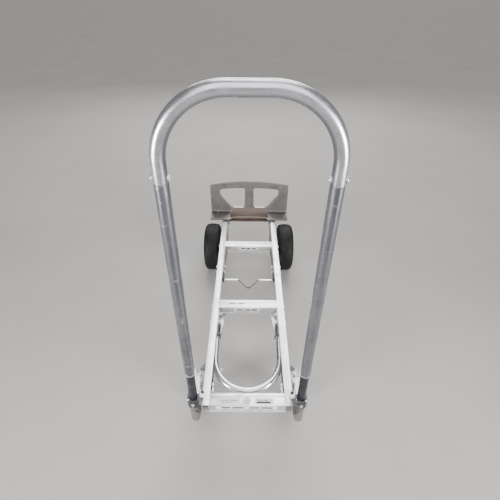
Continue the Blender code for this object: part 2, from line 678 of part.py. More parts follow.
def build_pivot_brackets():
    """Plates on the rails' outer faces: pivot hole and an arc slot for the lock pin."""
    pivot = (PIVOT_Y, PIVOT_Z)
    hub = arc(pivot, 0.018, 0, 70, 5)
    quadrant = arc(pivot, QUADRANT_RADIUS, 112, 230, 14)
    outline = [(0.105, -0.036), (0.105, -0.004), (PIVOT_Y + 0.020, -0.001), *hub, *quadrant,
               (0.000, -0.036)]
    start, reach = lock_angle(), lock_reach()
    half = LOCK_RADIUS + 0.0005
    pad = 0.6
    first = arc(pivot, reach + half, start - pad, start + 90 + pad, 14)
    tip = math.radians(start + 90 + pad)
    end_centre = (PIVOT_Y + reach * math.cos(tip), PIVOT_Z + reach * math.sin(tip))
    end_cap = arc(end_centre, half, start + 90, start + 270, 6)[1:-1]
    second = arc(pivot, reach - half, start + 90 + pad, start - pad, 14)
    tip = math.radians(start - pad)
    start_centre = (PIVOT_Y + reach * math.cos(tip), PIVOT_Z + reach * math.sin(tip))
    start_cap = arc(start_centre, half, start + 180, start + 360, 6)[1:-1]
    slot = first + end_cap + second + start_cap
    for label, side in SIDES:
        x0, x1 = span(side, RAIL_OUTER + GAP, RAIL_OUTER + GAP + QUADRANT_PLATE)
        plate = prism(f"{label}_pivot_bracket", [outline, slot], x0, x1, YZ, DULL_ALUMINIUM)
        x = side * RAIL_OUTER
        drill(plate, [(at(x, PIVOT_Y, PIVOT_Z), PIVOT_RADIUS + GAP)], "x", length=0.020, segments=16)
        flush = [(at(x, y, BOLT_HEIGHT), FLUSH_HOLE) for y in PIVOT_BOLTS]
        flush.append((at(x, CROSSBAR_DEPTH / 2, CROSSBAR_BOLT_HEIGHT), FLUSH_HOLE))
        drill(plate, flush, "x", length=0.020)


def build_pivot_pins():
    head = RAIL_OUTER - GAP
    lug = LEG_X + 0.0005 - head + 0.0008
    for label, side in SIDES:
        turned_pin(f"{label}_pivot_pin", at(side * head, PIVOT_Y, PIVOT_Z), side,
                   [(0.0085, -0.0060), (0.0085, 0.0), (PIVOT_RADIUS, 0.0), (PIVOT_RADIUS, lug),
                    (0.0080, lug), (0.0080, lug + 0.0042)])


def build_collars():
    """Cast collars: each holds a handle tube and turns on its pivot pin."""
    inner, outer = RAIL_OUTER + 0.0056, LEG_X + 0.0190
    near, far = LEG_Y - 0.0190, PIVOT_Y + 0.0130
    body_far = LEG_Y + 0.0185
    for label, side in SIDES:
        loop = [(inner, near + 0.004), (inner + 0.004, near), (outer - 0.007, near),
                (outer, near + 0.007), (outer, body_far - 0.006), (outer - 0.006, body_far),
                (LEG_X + 0.0005, body_far), (LEG_X + 0.0005, far), (inner, far)]
        collar = prism(f"{label}_pivot_collar", [[(side * x, y) for x, y in loop]],
                       0.0, COLLAR_TOP, XY, DULL_ALUMINIUM)
        drill(collar, [(at(side * LEG_X, LEG_Y, COLLAR_TOP / 2), INNER_RADIUS + GAP)], "z",
              length=0.080, segments=24)
        drill(collar, [(at(side * (LEG_X - 0.008), PIVOT_Y, PIVOT_Z), PIVOT_RADIUS + GAP)], "x",
              length=0.030, segments=16)
        split, past = body_far + 0.0005, 0.002
        x0, x1 = span(side, inner - past, outer + past)
        above_lug = box(f"{label}_above_lug", (x0, split, LUG_TOP),
                        (x1, far + past, COLLAR_TOP + past), None)
        below_body = box(f"{label}_below_body", (x0, near - past, -past),
                         (x1, split, COLLAR_BOTTOM), None)
        boolean(collar, above_lug, "DIFFERENCE")
        boolean(collar, below_body, "DIFFERENCE")


# ---------------------------------------------------------------- handle

def build_inner_tubes():
    """Tubes that join the legs to the collars, each with a foot below its collar."""
    low, top = COLLAR_BOTTOM - 0.0015, LEG_BOTTOM + 0.070
    foot_top = low - GAP
    for label, side in SIDES:
        axis = at(side * LEG_X, LEG_Y, 0)
        profile = ring(INNER_RADIUS, INNER_RADIUS - INNER_WALL, low, top)
        lathe(f"{label}_inner_tube", profile, axis, XY, DARK_STEEL)
        foot = [(FOOT_RADIUS, foot_top), (FOOT_RADIUS, FOOT_BOTTOM + 0.006),
                (FOOT_RADIUS - 0.002, FOOT_BOTTOM + 0.002), (FOOT_RADIUS - 0.006, FOOT_BOTTOM),
                (0.004, FOOT_BOTTOM), (0.004, foot_top)]
        lathe(f"{label}_handle_foot", foot, axis, XY, GREY_RUBBER)


def build_legs():
    wall = LEG_WALL
    shoulder, top = LOOP_END - GAP, LOOP_END + SWAGE_LENGTH
    profile = [(SWAGE_RADIUS, top), (SWAGE_RADIUS, shoulder), (LEG_RADIUS, shoulder),
               (LEG_RADIUS, LEG_BOTTOM), (LEG_RADIUS - wall, LEG_BOTTOM),
               (LEG_RADIUS - wall, shoulder - 0.004), (SWAGE_RADIUS - wall, shoulder),
               (SWAGE_RADIUS - wall, top)]
    for label, side in SIDES:
        axis = at(side * LEG_X, LEG_Y, 0)
        leg = lathe(f"{label}_handle_leg", profile, axis, XY, DULL_ALUMINIUM)
        drill(leg, [(at(side * LEG_X, LEG_Y, HANDLE_BOLT_Z), SMALL_HOLE)], "x")


def loop_path(extend=0.0):
    """Upright ends, two round corners and a short flat top."""
    flat = LEG_X - LOOP_CORNER
    corner_z = LOOP_TOP - LOOP_CORNER
    right = arc((flat, corner_z), LOOP_CORNER, 0, 90, 10)
    half = [(LEG_X, LOOP_END - extend), *right]
    plan = half + [(-x, z) for x, z in reversed(half)]
    return [at(x, LEG_Y, z) for x, z in plan]


def build_loop():
    loop = tube("handle_loop", loop_path(), LOOP_RADIUS, ALUMINIUM)
    bore = tube("handle_loop_bore", loop_path(0.004), LOOP_BORE, None)
    boolean(loop, bore, "DIFFERENCE")
    drill(loop, [(at(side * LEG_X, LEG_Y, HANDLE_BOLT_Z), SMALL_HOLE) for _, side in SIDES], "x")
    for label, side in SIDES:
        head = at(side * (LEG_X + LOOP_RADIUS), LEG_Y, HANDLE_BOLT_Z)
        hex_bolt(f"{label}_handle_bolt", head, (-side, 0, 0), 2 * LOOP_RADIUS,
                 shank=0.003, hexagon=0.0082, head=0.0055, nut=0.0062)


def build_latches():
    """Spring strips on the legs' inner sides; each lower end carries a lock pin."""
    thick, half_width = 0.0014, 0.007
    rest, tab = RAIL_OUTER - 0.0012, 0.0495            # tab: the finger tab at the lower end
    leg_side = LEG_X - LEG_RADIUS - GAP
    knee, foot = LEG_BOTTOM - 0.003, LEG_BOTTOM - 0.019
    outer = [(leg_side, LATCH_HINGE_Z), (leg_side, knee), (rest, foot), (rest, 0.110),
             (rest - 0.001, 0.095), (rest, 0.080), (rest, tab + 0.005), (rest - 0.003, tab + 0.001),
             (rest - 0.013, tab)]
    inner = [(rest - 0.013, tab + thick), (rest - 0.0036, tab + 0.001 + thick),
             (rest - thick, tab + 0.0062), (rest - thick, 0.080), (rest - 0.001 - thick, 0.095),
             (rest - thick, 0.1096), (rest - thick, foot - 0.0005), (leg_side - thick, knee - 0.0005),
             (leg_side - thick, LATCH_HINGE_Z)]
    for label, side in SIDES:
        loop = [(side * x, z) for x, z in outer + inner]
        prism(f"{label}_latch_spring", [loop], LEG_Y - half_width, LEG_Y + half_width, XZ, STEEL)
        turned_pin(f"{label}_lock_pin", at(side * (rest + GAP), LEG_Y, LOCK_Z), side,
                   [(LOCK_RADIUS, 0.0), (LOCK_RADIUS, 0.0060), (LOCK_RADIUS - 0.0008, 0.0068)])


def build_all():
    build_rails()
    build_crossbars()
    build_nose_plate()
    build_axle_brackets()
    build_v_brace()
    build_axle()
    build_wheels()
    build_caster_brackets()
    build_caster_plates()
    build_forks()
    build_caster_wheels()
    build_brace()
    build_brace_clamps()
    build_pivot_brackets()
    build_pivot_pins()
    build_collars()
    build_inner_tubes()
    build_legs()
    build_loop()
    build_latches()


for old in list(bpy.data.objects):
    bpy.data.objects.remove(old, do_unlink=True)
PARTS = make_collection("hand_truck")
CUTTERS = make_collection("hand_truck_cutters")
build_all()
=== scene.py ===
"""Looks of the convertible hand truck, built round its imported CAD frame.

Every mesh is made in the row frame: metres, +Z up, +X to the right and +Y from
the handle end towards the nose plate. at() takes frame coordinates: y from the
rails' handle end and z from the deck, the plane of the rail tops.
"""
from math import atan, cos, radians, sin, tan, tau
from types import SimpleNamespace

import bmesh
import bpy
from mathutils import Euler, Matrix, Vector
from mathutils.geometry import tessellate_polygon


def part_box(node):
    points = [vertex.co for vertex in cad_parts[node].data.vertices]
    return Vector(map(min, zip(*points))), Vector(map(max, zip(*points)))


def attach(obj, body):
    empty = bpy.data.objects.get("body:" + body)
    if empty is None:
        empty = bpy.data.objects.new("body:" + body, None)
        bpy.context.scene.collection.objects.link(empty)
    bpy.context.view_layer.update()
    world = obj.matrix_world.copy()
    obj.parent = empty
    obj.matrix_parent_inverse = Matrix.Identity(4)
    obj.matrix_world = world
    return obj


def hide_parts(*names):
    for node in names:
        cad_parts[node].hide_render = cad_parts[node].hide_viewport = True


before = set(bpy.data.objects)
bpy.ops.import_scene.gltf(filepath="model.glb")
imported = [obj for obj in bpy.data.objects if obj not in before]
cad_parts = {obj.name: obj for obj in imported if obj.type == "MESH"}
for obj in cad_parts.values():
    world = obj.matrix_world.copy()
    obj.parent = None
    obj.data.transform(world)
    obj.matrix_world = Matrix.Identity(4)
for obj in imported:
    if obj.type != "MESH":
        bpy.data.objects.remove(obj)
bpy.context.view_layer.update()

SIDES = (("left", -1), ("right", 1))
X, Y, Z = Vector((1, 0, 0)), Vector((0, 1, 0)), Vector((0, 0, 1))
GAP = 0.0003
MERGE, WELD = 0.000001, 0.00002

# ---- places from the frame

RAIL_LOW, RAIL_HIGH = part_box("right_rail")
DECK = RAIL_HIGH.z
RAIL_INNER, RAIL_OUTER = RAIL_LOW.x, RAIL_HIGH.x
RAIL_HEIGHT = RAIL_HIGH.z - RAIL_LOW.z


def at(x, y, z):
    """Row-frame point from frame coordinates."""
    return Vector((x, y + RAIL_LOW.y, z + DECK))


def local(node):
    """A node's lowest and highest corners in frame coordinates."""
    return [SimpleNamespace(x=v.x, y=v.y - RAIL_LOW.y, z=v.z - DECK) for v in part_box(node)]


def middle(node):
    low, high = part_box(node)
    return (low + high) / 2


def size(node):
    low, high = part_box(node)
    return high - low


# ---- outlines

def arc(centre, radius, start, end, steps):
    """Points on an arc, in degrees, with both ends."""
    angles = [radians(start + (end - start) * i / steps) for i in range(steps + 1)]
    return [(centre[0] + radius * cos(a), centre[1] + radius * sin(a)) for a in angles]


def fillet(points, radius, steps=4):
    """A closed outline with its corners rounded, by one radius or one for each corner."""
    rounded = []
    for i, point in enumerate(points):
        here = Vector(point)
        r = radius[i] if isinstance(radius, (list, tuple)) else radius
        u, v = Vector(points[i - 1]) - here, Vector(points[(i + 1) % len(points)]) - here
        half = u.angle(v) / 2
        if r <= 0 or half > radians(87):
            rounded.append(tuple(here))
            continue
        reach = min(r / tan(half), u.length * 0.49, v.length * 0.49)
        r = reach * tan(half)
        centre = here + (u.normalized() + v.normalized()).normalized() * (r / sin(half))
        first, last = here + u.normalized() * reach - centre, here + v.normalized() * reach - centre
        turn = first.angle(last)
        for k in range(steps + 1):
            a, b = sin((1 - k / steps) * turn), sin(k / steps * turn)
            rounded.append(tuple(centre + (first * a + last * b) / sin(turn)))
    return rounded


def mirror(points, side):
    return [(side * u, v) for u, v in points]


def rectangle(u0, u1, v0, v1):
    return [(u0, v0), (u1, v0), (u1, v1), (u0, v1)]


def band(outer, inner, start, end):
    """The section of a plain ring or tube."""
    return [(outer, start), (outer, end), (inner, end), (inner, start)]


def both_ways(half):
    """A half section of (radius, distance) points and its mirror image, as one loop."""
    return half + [(r, -d) for r, d in reversed(half)]


# ---- mesh building

def spokes(axis, count):
    """Unit vectors all round an axis."""
    side = axis.orthogonal().normalized()
    other = axis.cross(side)
    return [side * cos(tau * i / count) + other * sin(tau * i / count) for i in range(count)]


def lathe(bm, profile, centre, axis, segments, wave=None):
    """Turn a closed profile of (radius, distance along the axis) points about the axis."""
    rings = []
    for i, out in enumerate(spokes(axis, segments)):
        points = wave(profile, i) if wave else profile
        rings.append([bm.verts.new(centre + out * r + axis * d) for r, d in points])
    join_rings(bm, rings, closed=True)


def join_rings(bm, rings, closed=False):
    """Quads between neighbouring rings, each of them a closed loop."""
    for i in range(len(rings) if closed else len(rings) - 1):
        first, second = rings[i], rings[(i + 1) % len(rings)]
        for j in range(len(first)):
            k = (j + 1) % len(first)
            bm.faces.new((first[j], first[k], second[k], second[j]))


def cap(bm, rings):
    """Flat ends on a row of rings."""
    bm.faces.new(list(reversed(rings[0])))
    bm.faces.new(rings[-1])


def turned(bm, point, direction, sections, sides=24):
    """A solid of round or many-sided sections, given as (radius, distance along direction)."""
    direction = Vector(direction).normalized()
    rings = [[bm.verts.new(point + direction * distance + out * radius)
              for out in spokes(direction, sides)] for radius, distance in sections]
    join_rings(bm, rings)
    cap(bm, rings)


def sweep(bm, path, radius, bore=0.0, segments=36, lip=0.0006):
    """A round bar along a path; with a bore it is a tube with softened ends."""
    tangents = []
    for i in range(len(path)):
        before, after = path[max(i - 1, 0)], path[min(i + 1, len(path) - 1)]
        tangents.append((after - before).normalized())
    normal = tangents[0].orthogonal().normalized()
    frames = []
    for i, t in enumerate(tangents):
        if i:
            normal = (tangents[i - 1].rotation_difference(t) @ normal).normalized()
        frames.append((path[i], normal.copy(), t.cross(normal)))

    def circle(station, r, shift=0.0):
        point, u, v = frames[station]
        point = point + tangents[station] * shift
        angles = [tau * k / segments for k in range(segments)]
        return [bm.verts.new(point + (u * cos(a) + v * sin(a)) * r) for a in angles]

    last = len(path) - 1
    rings = [circle(0, radius - lip), circle(0, radius, lip)]
    rings += [circle(i, radius) for i in range(1, last)]
    rings += [circle(last, radius, -lip), circle(last, radius - lip)]
    if bore:
        rings += [circle(last, bore + lip), circle(last, bore, -lip)]
        rings += [circle(i, bore) for i in range(last - 1, 0, -1)]
        rings += [circle(0, bore, lip), circle(0, bore + lip)]
        join_rings(bm, rings, closed=True)
    else:
        join_rings(bm, rings)
        cap(bm, rings)


PLANES = {"xz": lambda u, v, depth: at(u, depth, v),
          "yz": lambda u, v, depth: at(depth, u, v),
          "xy": lambda u, v, depth: at(u, v, depth)}


def slab(bm, loops, low, high, plane):
    """A flat outline, with holes as further loops, between two depths."""
    place = PLANES[plane]
    flat = [p for loop in loops for p in loop]
    near = [bm.verts.new(place(u, v, low)) for u, v in flat]
    far = [bm.verts.new(place(u, v, high)) for u, v in flat]
    for tri in tessellate_polygon([[Vector((u, v, 0)) for u, v in loop] for loop in loops]):
        bm.faces.new([near[i] for i in tri])
        bm.faces.new([far[i] for i in reversed(tri)])
    start = 0
    for loop in loops:
        count = len(loop)
        for i in range(count):
            a, b = start + i, start + (i + 1) % count
            bm.faces.new((near[a], near[b], far[b], far[a]))
        start += count


def side_slab(bm, outline, side, inner, outer):
    """A slab across x on one side of the truck."""
    slab(bm, [outline], *sorted((side * inner, side * outer)), "yz")


# ---- pieces

def add_object(name, data):
    obj = bpy.data.objects.new(name, data)
    bpy.context.scene.collection.objects.link(obj)
    return obj


def link(name, bm):
    """The finished bmesh as a new object, faces outward."""
    bmesh.ops.remove_doubles(bm, verts=bm.verts, dist=MERGE)
    bmesh.ops.recalc_face_normals(bm, faces=bm.faces)
    mesh = bpy.data.meshes.new(name)
    bm.to_mesh(mesh)
    bm.free()
    return add_object(name, mesh)


def add_modifier(obj, kind, **settings):
    modifier = obj.modifiers.new(kind.lower(), kind)
    for key, value in settings.items():
        setattr(modifier, key, value)


def soften(obj, width):
    """Round a hard-edged mesh: merge flat faces, then bevel what is left."""
    add_modifier(obj, "WELD", merge_threshold=WELD)
    add_modifier(obj, "DECIMATE", decimate_type="DISSOLVE", angle_limit=radians(1.5))
    add_modifier(obj, "BEVEL", width=width, segments=2, limit_method="ANGLE",
                 angle_limit=radians(32), harden_normals=True)


def smooth(mesh, angle=35):
    mesh.shade_smooth()
    mesh.set_sharp_from_angle(angle=radians(angle))


def settle(obj, body, look, stands_for):
    """Give a piece its material and body, and hide the nodes it stands for."""
    obj.data.materials.append(LOOKS[look][0])
    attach(obj, body)
    if stands_for:
        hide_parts(*stands_for)


def piece(bm, name, body, look, *stands_for, bevel=0.0, angle=35):
    """Turn a bmesh into a piece that rides on a body."""
    obj = link(name, bm)
    smooth(obj.data, angle)
    if bevel:
        soften(obj, bevel)
    settle(obj, body, look, stands_for)


def single(make, shape, *labels, **kind):
    """A piece of one shape: make is given the shape, and piece() the rest."""
    bm = bmesh.new()
    make(bm, *shape)
    piece(bm, *labels, **kind)


def cast(bm, name, body, look, *stands_for, voxel):
    """A casting: overlapping blocks melted into one skin with rounded edges and roots."""
    obj = link(name, bm)
    add_modifier(obj, "REMESH", mode="VOXEL", voxel_size=voxel, use_smooth_shade=True)
    add_modifier(obj, "CORRECTIVE_SMOOTH", factor=0.5, iterations=6, use_only_smooth=True)
    add_modifier(obj, "DECIMATE", decimate_type="COLLAPSE", ratio=0.45)
    mesh = bpy.data.meshes.new_from_object(obj.evaluated_get(bpy.context.evaluated_depsgraph_get()))
    obj.modifiers.clear()
    obj.data = mesh
    smooth(mesh, 60)
    settle(obj, body, look, stands_for)


def dress(node, look, bevel):
    """Keep a CAD node, with softened edges and its real finish."""
    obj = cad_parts[node]
    obj.data.materials.clear()
    obj.data.materials.append(LOOKS[look][0])
    smooth(obj.data)
    soften(obj, bevel)


# ---- fasteners

def hexagon(bm, point, direction, radius, height):
    """A hexagon with a washer face below and a chamfer on top."""
    turned(bm, point, direction, [(radius * 0.88, 0), (radius * 0.9, height * 0.08)])
    turned(bm, point, direction,
           [(radius * 0.97, height * 0.07), (radius, height * 0.12), (radius, height * 0.8),
            (radius * 0.9, height * 0.97), (radius * 0.8, height)], sides=6)


def dome(bm, point, direction, radius, height):
    """A low round head."""
    rim = height * 0.22
    angles = [radians(90 * i / 6) for i in range(6)]
    curve = [(radius * cos(a), rim + (height - rim) * sin(a)) for a in angles]
    turned(bm, point, direction, [(radius, 0), *curve, (radius * 0.12, height)])


def washer(bm, point, direction, radius, thick):
    edge = 0.0002
    turned(bm, point, direction, [(radius - edge, 0), (radius, edge), (radius, thick - edge),
                                  (radius - edge, thick)])


def thread(bm, point, direction, radius, length):
    """The threaded end of a bolt."""
    pitch = 0.0011
    turns = max(2, int(length / pitch))
    rings = []
    for i in range(turns):
        rings += [(radius, (i + 0.1) * pitch), (radius, (i + 0.35) * pitch),
                  (radius * 0.88, (i + 0.75) * pitch)]
    turned(bm, point, direction, [(radius * 0.88, 0), *rings, (radius * 0.72, turns * pitch)],
           sides=16)


def bolt(bm, point, direction, grip, radius, nut=True, head=None, flat=0.0):
    """A hexagon bolt through a grip; the point is where its head seats."""
    direction = Vector(direction).normalized()
    across = radius * 1.85
    height = head or radius * 1.3
    plate = radius * 0.32
    if flat:
        dome(bm, point, -direction, across, flat)
    else:
        washer(bm, point, -direction, across * 1.12, plate)
        hexagon(bm, point - direction * plate, -direction, across, height)
    turned(bm, point, direction, [(radius, 0), (radius, grip)], sides=20)
    if nut:
        end = point + direction * grip
        washer(bm, end, direction, across * 1.12, plate)
        hexagon(bm, end + direction * plate, direction, across, radius * 1.5)
        dome(bm, end + direction * (plate + radius * 1.45), direction, radius * 1.35, radius * 0.5)
        thread(bm, end + direction * (plate + radius * 1.5), direction, radius * 0.9, radius * 1.1)


# ---- materials

class Finish:
    """One procedural material, on object coordinates in metres."""

    def __init__(self, name, colour=None):
        self.material = bpy.data.materials.new(name)
        self.material.use_nodes = True
        self.tree = self.material.node_tree
        self.shader = self.tree.nodes["Principled BSDF"]
        coordinates = self.node("TexCoord").outputs
        self.place, self.facing = coordinates["Object"], coordinates["Normal"]
        self.base = colour

    def put(self, socket, value):
        if isinstance(value, bpy.types.NodeSocket):
            self.tree.links.new(value, socket)
        elif isinstance(value, tuple) and len(value) == 3 and socket.type == "RGBA":
            socket.default_value = (*value, 1.0)
        else:
            socket.default_value = value

    def set(self, socket, value):
        """A constant or a node's output on the shader's own socket."""
        self.put(self.shader.inputs[socket], value)

    def node(self, kind, inputs=(), **settings):
        made = self.tree.nodes.new("ShaderNode" + kind)
        for key, value in settings.items():
            setattr(made, key, value)
        for key, value in dict(inputs).items():
            self.put(made.inputs[key], value)
        return made

    def noise(self, scale, detail=4.0, stretch=(1, 1, 1), turn=(0, 0, 0), rough=0.6):
        place = self.place
        if stretch != (1, 1, 1) or turn != (0, 0, 0):
            inputs = {"Vector": place, "Scale": stretch, "Rotation": turn}
            place = self.node("Mapping", inputs).outputs[0]
        inputs = {"Vector": place, "Scale": scale, "Detail": detail, "Roughness": rough}
        return self.node("TexNoise", inputs).outputs[0]

    def span(self, value, low, high, start=0.0, end=1.0):
        """Value from low to high, spread over start to end and held there."""
        return self.node("MapRange", {0: value, 1: low, 2: high, 3: start, 4: end},
                         interpolation_type="SMOOTHSTEP").outputs[0]

    def sum(self, a, b, operation="ADD"):
        return self.node("Math", {0: a, 1: b}, operation=operation).outputs[0]

    def times(self, a, b):
        return self.sum(a, b, "MULTIPLY")

    def dot(self, a, b):
        return self.node("VectorMath", {0: a, 1: b}, operation="DOT_PRODUCT").outputs["Value"]

    def blend(self, share, a, b):
        """From a to b as the share goes from 0 to 1."""
        mixer = self.node("Mix", data_type="RGBA")
        for index, value in ((0, share), (6, a), (7, b)):
            self.put(mixer.inputs[index], value)
        return mixer.outputs[2]

    def coat(self, mask, amount, colour):
        """Lay a colour over the base where a mask is 1."""
        self.base = self.blend(self.times(mask, amount), self.base, colour)

    def edges(self, radius):
        """1 on outer edges and roots, 0 on flats."""
        bevel = self.node("Bevel", {"Radius": radius}, samples=4).outputs[0]
        dot = self.dot(bevel, self.node("NewGeometry").outputs["Normal"])
        return self.span(self.sum(1.0, dot, "SUBTRACT"), 0.02, 0.25)

    def crevices(self, distance):
        """1 where ambient occlusion is deep, in corners and joints, 0 in the open."""
        shade = self.node("AmbientOcclusion", {"Distance": distance}, samples=4)
        return self.span(shade.outputs["AO"], 0.35, 0.95, 1.0, 0.0)

    def upward(self):
        """1 on faces that look up while the truck stands."""
        split = self.node("SeparateXYZ", {0: self.facing}).outputs["Z"]
        return self.span(split, 0.3, 0.9)

    def turned_to(self, centre):
        """1 on the side of a tube that faces a point, 0 on its back; it masks painted shade."""
        offset = self.node("VectorMath", {0: centre, 1: self.place}, operation="SUBTRACT")
        toward = self.node("VectorMath", {0: offset.outputs[0]}, operation="NORMALIZE")
        return self.span(self.dot(toward.outputs[0], self.facing), -0.05, 0.75)

    def rusty_panel(self):
        """1 on the nose plate's lower panel between the rails, broken up by stains."""
        place = self.node("SeparateXYZ", {0: self.place})
        across = self.span(self.sum(place.outputs["X"], 0.0, "ABSOLUTE"), 0.1, 0.125, 1.0, 0.0)
        below = self.span(place.outputs["Z"], DECK + 0.03, DECK + 0.055, 1.0, 0.0)
        stain = self.span(self.noise(35, 5, rough=0.7), 0.3, 0.62, 0.35, 1.0)
        return self.times(self.times(across, below), stain)

    def bump(self, height, distance, under=None):
        inputs = {"Height": height, "Distance": distance, "Strength": 1.0}
        if under is not None:
            inputs["Normal"] = under
        return self.node("Bump", inputs).outputs[0]


ALONG = {"x": (0.02, 1, 1), "y": (1, 0.02, 1), "z": (1, 1, 0.02)}
SCRATCH_DEPTH = 0.00003
FILM_GRAIN = {"corner_coat": 0.2, "grain": 0.00001}


def metal(name, colour, dull, metallic, roughness, grain, streak, blotch, corner_coat, wear=0.5,
          worn=(0.92, 0.92, 0.93), dirt_and_shade=(0.1, 0.085, 0.07), pits=0.0, blotch_scale=14,
          edge_size=0.0015, tint=None, painted_shade_centre=None):
    """Bare or plated metal: drawn grain, stains, scratches, grime and painted shade in corners, bright
    worn edges, and painted shade on a tube's side that faces a given point.
    """
    f = Finish(name, colour)
    stretch = ALONG[grain]
    fine = f.noise(900, 3, stretch)
    broad = f.noise(120, 4, stretch)
    patch = f.noise(blotch_scale, 6, rough=0.65)
    stain = f.span(patch, 0.42, 0.72)
    lines = f.span(broad, 0.42, 0.75)
    f.coat(stain, blotch, dull)
    f.coat(lines, streak, dull)
    scratch_a = f.span(f.noise(55, 2, (1, 0.06, 1), (0.3, 0.2, 0.7)), 0.655, 0.685)
    scratch_b = f.span(f.noise(70, 2, (0.08, 1, 1), (0.1, 0.5, 0.4)), 0.665, 0.69)
    scratch = f.sum(scratch_a, scratch_b, "MAXIMUM")
    f.coat(scratch, 0.35 * wear, worn)
    # painted shade: the side of the tube that faces the given point is darkened towards the dark corner
    # colour
    if painted_shade_centre:
        f.coat(f.turned_to(painted_shade_centre), 0.85, dirt_and_shade)
    if tint:
        f.base = f.blend(f.rusty_panel(), f.base, tint)
    edge = f.times(f.edges(edge_size), f.span(f.noise(160, 3), 0.35, 0.6))
    f.coat(edge, wear, worn)
    # painted shade with grime: ambient occlusion darkens corners and joints towards the dark corner
    # colour
    corner = f.times(f.crevices(0.012), f.span(f.noise(60, 5), 0.25, 0.65))
    f.coat(corner, corner_coat, dirt_and_shade)
    f.set("Base Color", f.base)
    f.set("Metallic", metallic)
    rough = f.sum(f.span(fine, 0.3, 0.7, -0.05, 0.05), roughness)
    for mask, amount in ((stain, 0.14), (corner, 0.25), (edge, -0.1)):
        rough = f.sum(rough, f.times(mask, amount))
    f.set("Roughness", rough)
    normal = f.bump(scratch, -SCRATCH_DEPTH, f.bump(fine, SCRATCH_DEPTH))
    if pits:
        normal = f.bump(f.noise(420, 5, rough=0.7), pits, normal)
        normal = f.bump(f.noise(60, 3), pits * 2.0, normal)
    f.set("Normal", normal)
    return f.material


def rubber(name, colour, dust, dusty=0.5, roughness=0.72, corner_coat=0.4, grain=0.00006, gloss=0.5):
    """Rubber or moulded plastic: mottled, dusty on top and in its corners."""
    f = Finish(name, colour)
    mottle = f.span(f.noise(45, 6, rough=0.7), 0.35, 0.75)
    speck = f.span(f.noise(420, 3), 0.58, 0.72)
    lift = tuple(c * 1.9 + 0.01 for c in colour)
    f.coat(mottle, 0.5, lift)
    top = f.times(f.upward(), f.span(f.noise(18, 5), 0.35, 0.7))
    f.coat(top, dusty * 0.5, dust)
    corner = f.times(f.crevices(0.008), f.span(f.noise(90, 4), 0.3, 0.6))
    f.coat(corner, corner_coat, dust)
    f.coat(speck, dusty * 0.6, dust)
    scuff = f.times(f.edges(0.0012), f.span(f.noise(140, 3), 0.4, 0.65))
    f.coat(scuff, 0.35, lift)
    f.set("Base Color", f.base)
    f.set("Specular IOR Level", gloss)
    f.set("Roughness", f.sum(f.sum(f.times(mottle, 0.12), roughness), f.times(top, 0.12)))
    normal = f.bump(f.noise(130, 4), grain * 2, f.bump(f.noise(700, 3), grain))
    f.set("Normal", normal)
    return f.material


WHITE_METAL, LILAC = (0.88, 0.88, 0.89), (0.62, 0.62, 0.66)
PAPER_DUST, PLASTIC_DUST = (0.5, 0.46, 0.42), (0.3, 0.27, 0.24)
# the loop's centre; the side of the loop tube that faces it gets painted shade
LOOP_MIDDLE = (0.0, middle("handle_loop").y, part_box("handle_loop")[1].z - 0.155)
LOOKS = {}


def add_looks(slot, **materials):
    """Looks that share one material slot, by name."""
    for look, material in materials.items():
        LOOKS[look] = (material, slot)


# A metal: name, colour, dull colour, metallic, roughness, grain, streak, blotch, corner grime and
# painted shade, wear.
add_looks(
    "bright_aluminium",
    rail=metal("rail_aluminium", WHITE_METAL, LILAC, 0.95, 0.36, "y", 0.6, 0.5, 0.7),
    crossbar=metal("crossbar_aluminium", WHITE_METAL, LILAC, 0.95, 0.36, "x", 0.5, 0.5, 0.7),
    loop=metal("loop_aluminium", (0.64, 0.64, 0.69), (0.43, 0.435, 0.48), 0.92, 0.27, "x", 0.5, 0.35,
        0.4, 0.25, dirt_and_shade=(0.16, 0.165, 0.19), painted_shade_centre=LOOP_MIDDLE),
    brace=metal("brace_aluminium", (0.86, 0.86, 0.88), (0.54, 0.55, 0.59), 1.0, 0.24, "y", 0.4, 0.35,
        0.5, 0.4),
    clamp=metal("clamp_aluminium", (0.52, 0.52, 0.54), (0.3, 0.31, 0.33), 0.95, 0.32, "y", 0.2, 0.4,
        0.7))
add_looks(
    "dull_aluminium",
    leg=metal("leg_aluminium", (0.26, 0.27, 0.3), (0.095, 0.1, 0.115), 0.92, 0.27, "z", 0.8, 0.6,
        0.5, 0.6),
    bracket=metal("bracket_aluminium", (0.105, 0.112, 0.125), (0.035, 0.038, 0.044), 0.85, 0.32, "y",
        0.2, 0.7, 0.8, 0.8, pits=0.00008),
    strap=metal("strap_aluminium", (0.8, 0.8, 0.82), (0.46, 0.47, 0.5), 0.95, 0.3, "x", 0.3, 0.4,
        0.6),
    bracket_plate=metal("caster_bracket_aluminium", (0.42, 0.43, 0.45), (0.28, 0.29, 0.31), 0.9, 0.42,
        "y", 0.2, 0.6, 0.7),
    latch=metal("latch_steel", (0.9, 0.89, 0.89), (0.66, 0.65, 0.66), 0.25, 0.32, "z", 0.3, 0.3, 0.5))
add_looks(
    "cast_aluminium",
    casting=metal("cast_aluminium", (0.185, 0.178, 0.172), (0.105, 0.092, 0.082), 0.75, 0.45, "x", 0.1,
        0.75, 0.7, 0.7, worn=(0.66, 0.65, 0.63), pits=0.00018, dirt_and_shade=(0.13, 0.085, 0.055),
        edge_size=0.0035, tint=(0.25, 0.195, 0.17)),
    # the lip bar's pale tan is worn metal together with a painted highlight on the lip's edge
    lip=metal("worn_lip_highlight_aluminium", (0.75, 0.66, 0.55), (0.42, 0.33, 0.26), 0.85, 0.36, "x", 0.3, 0.6,
        0.5, 0.6))
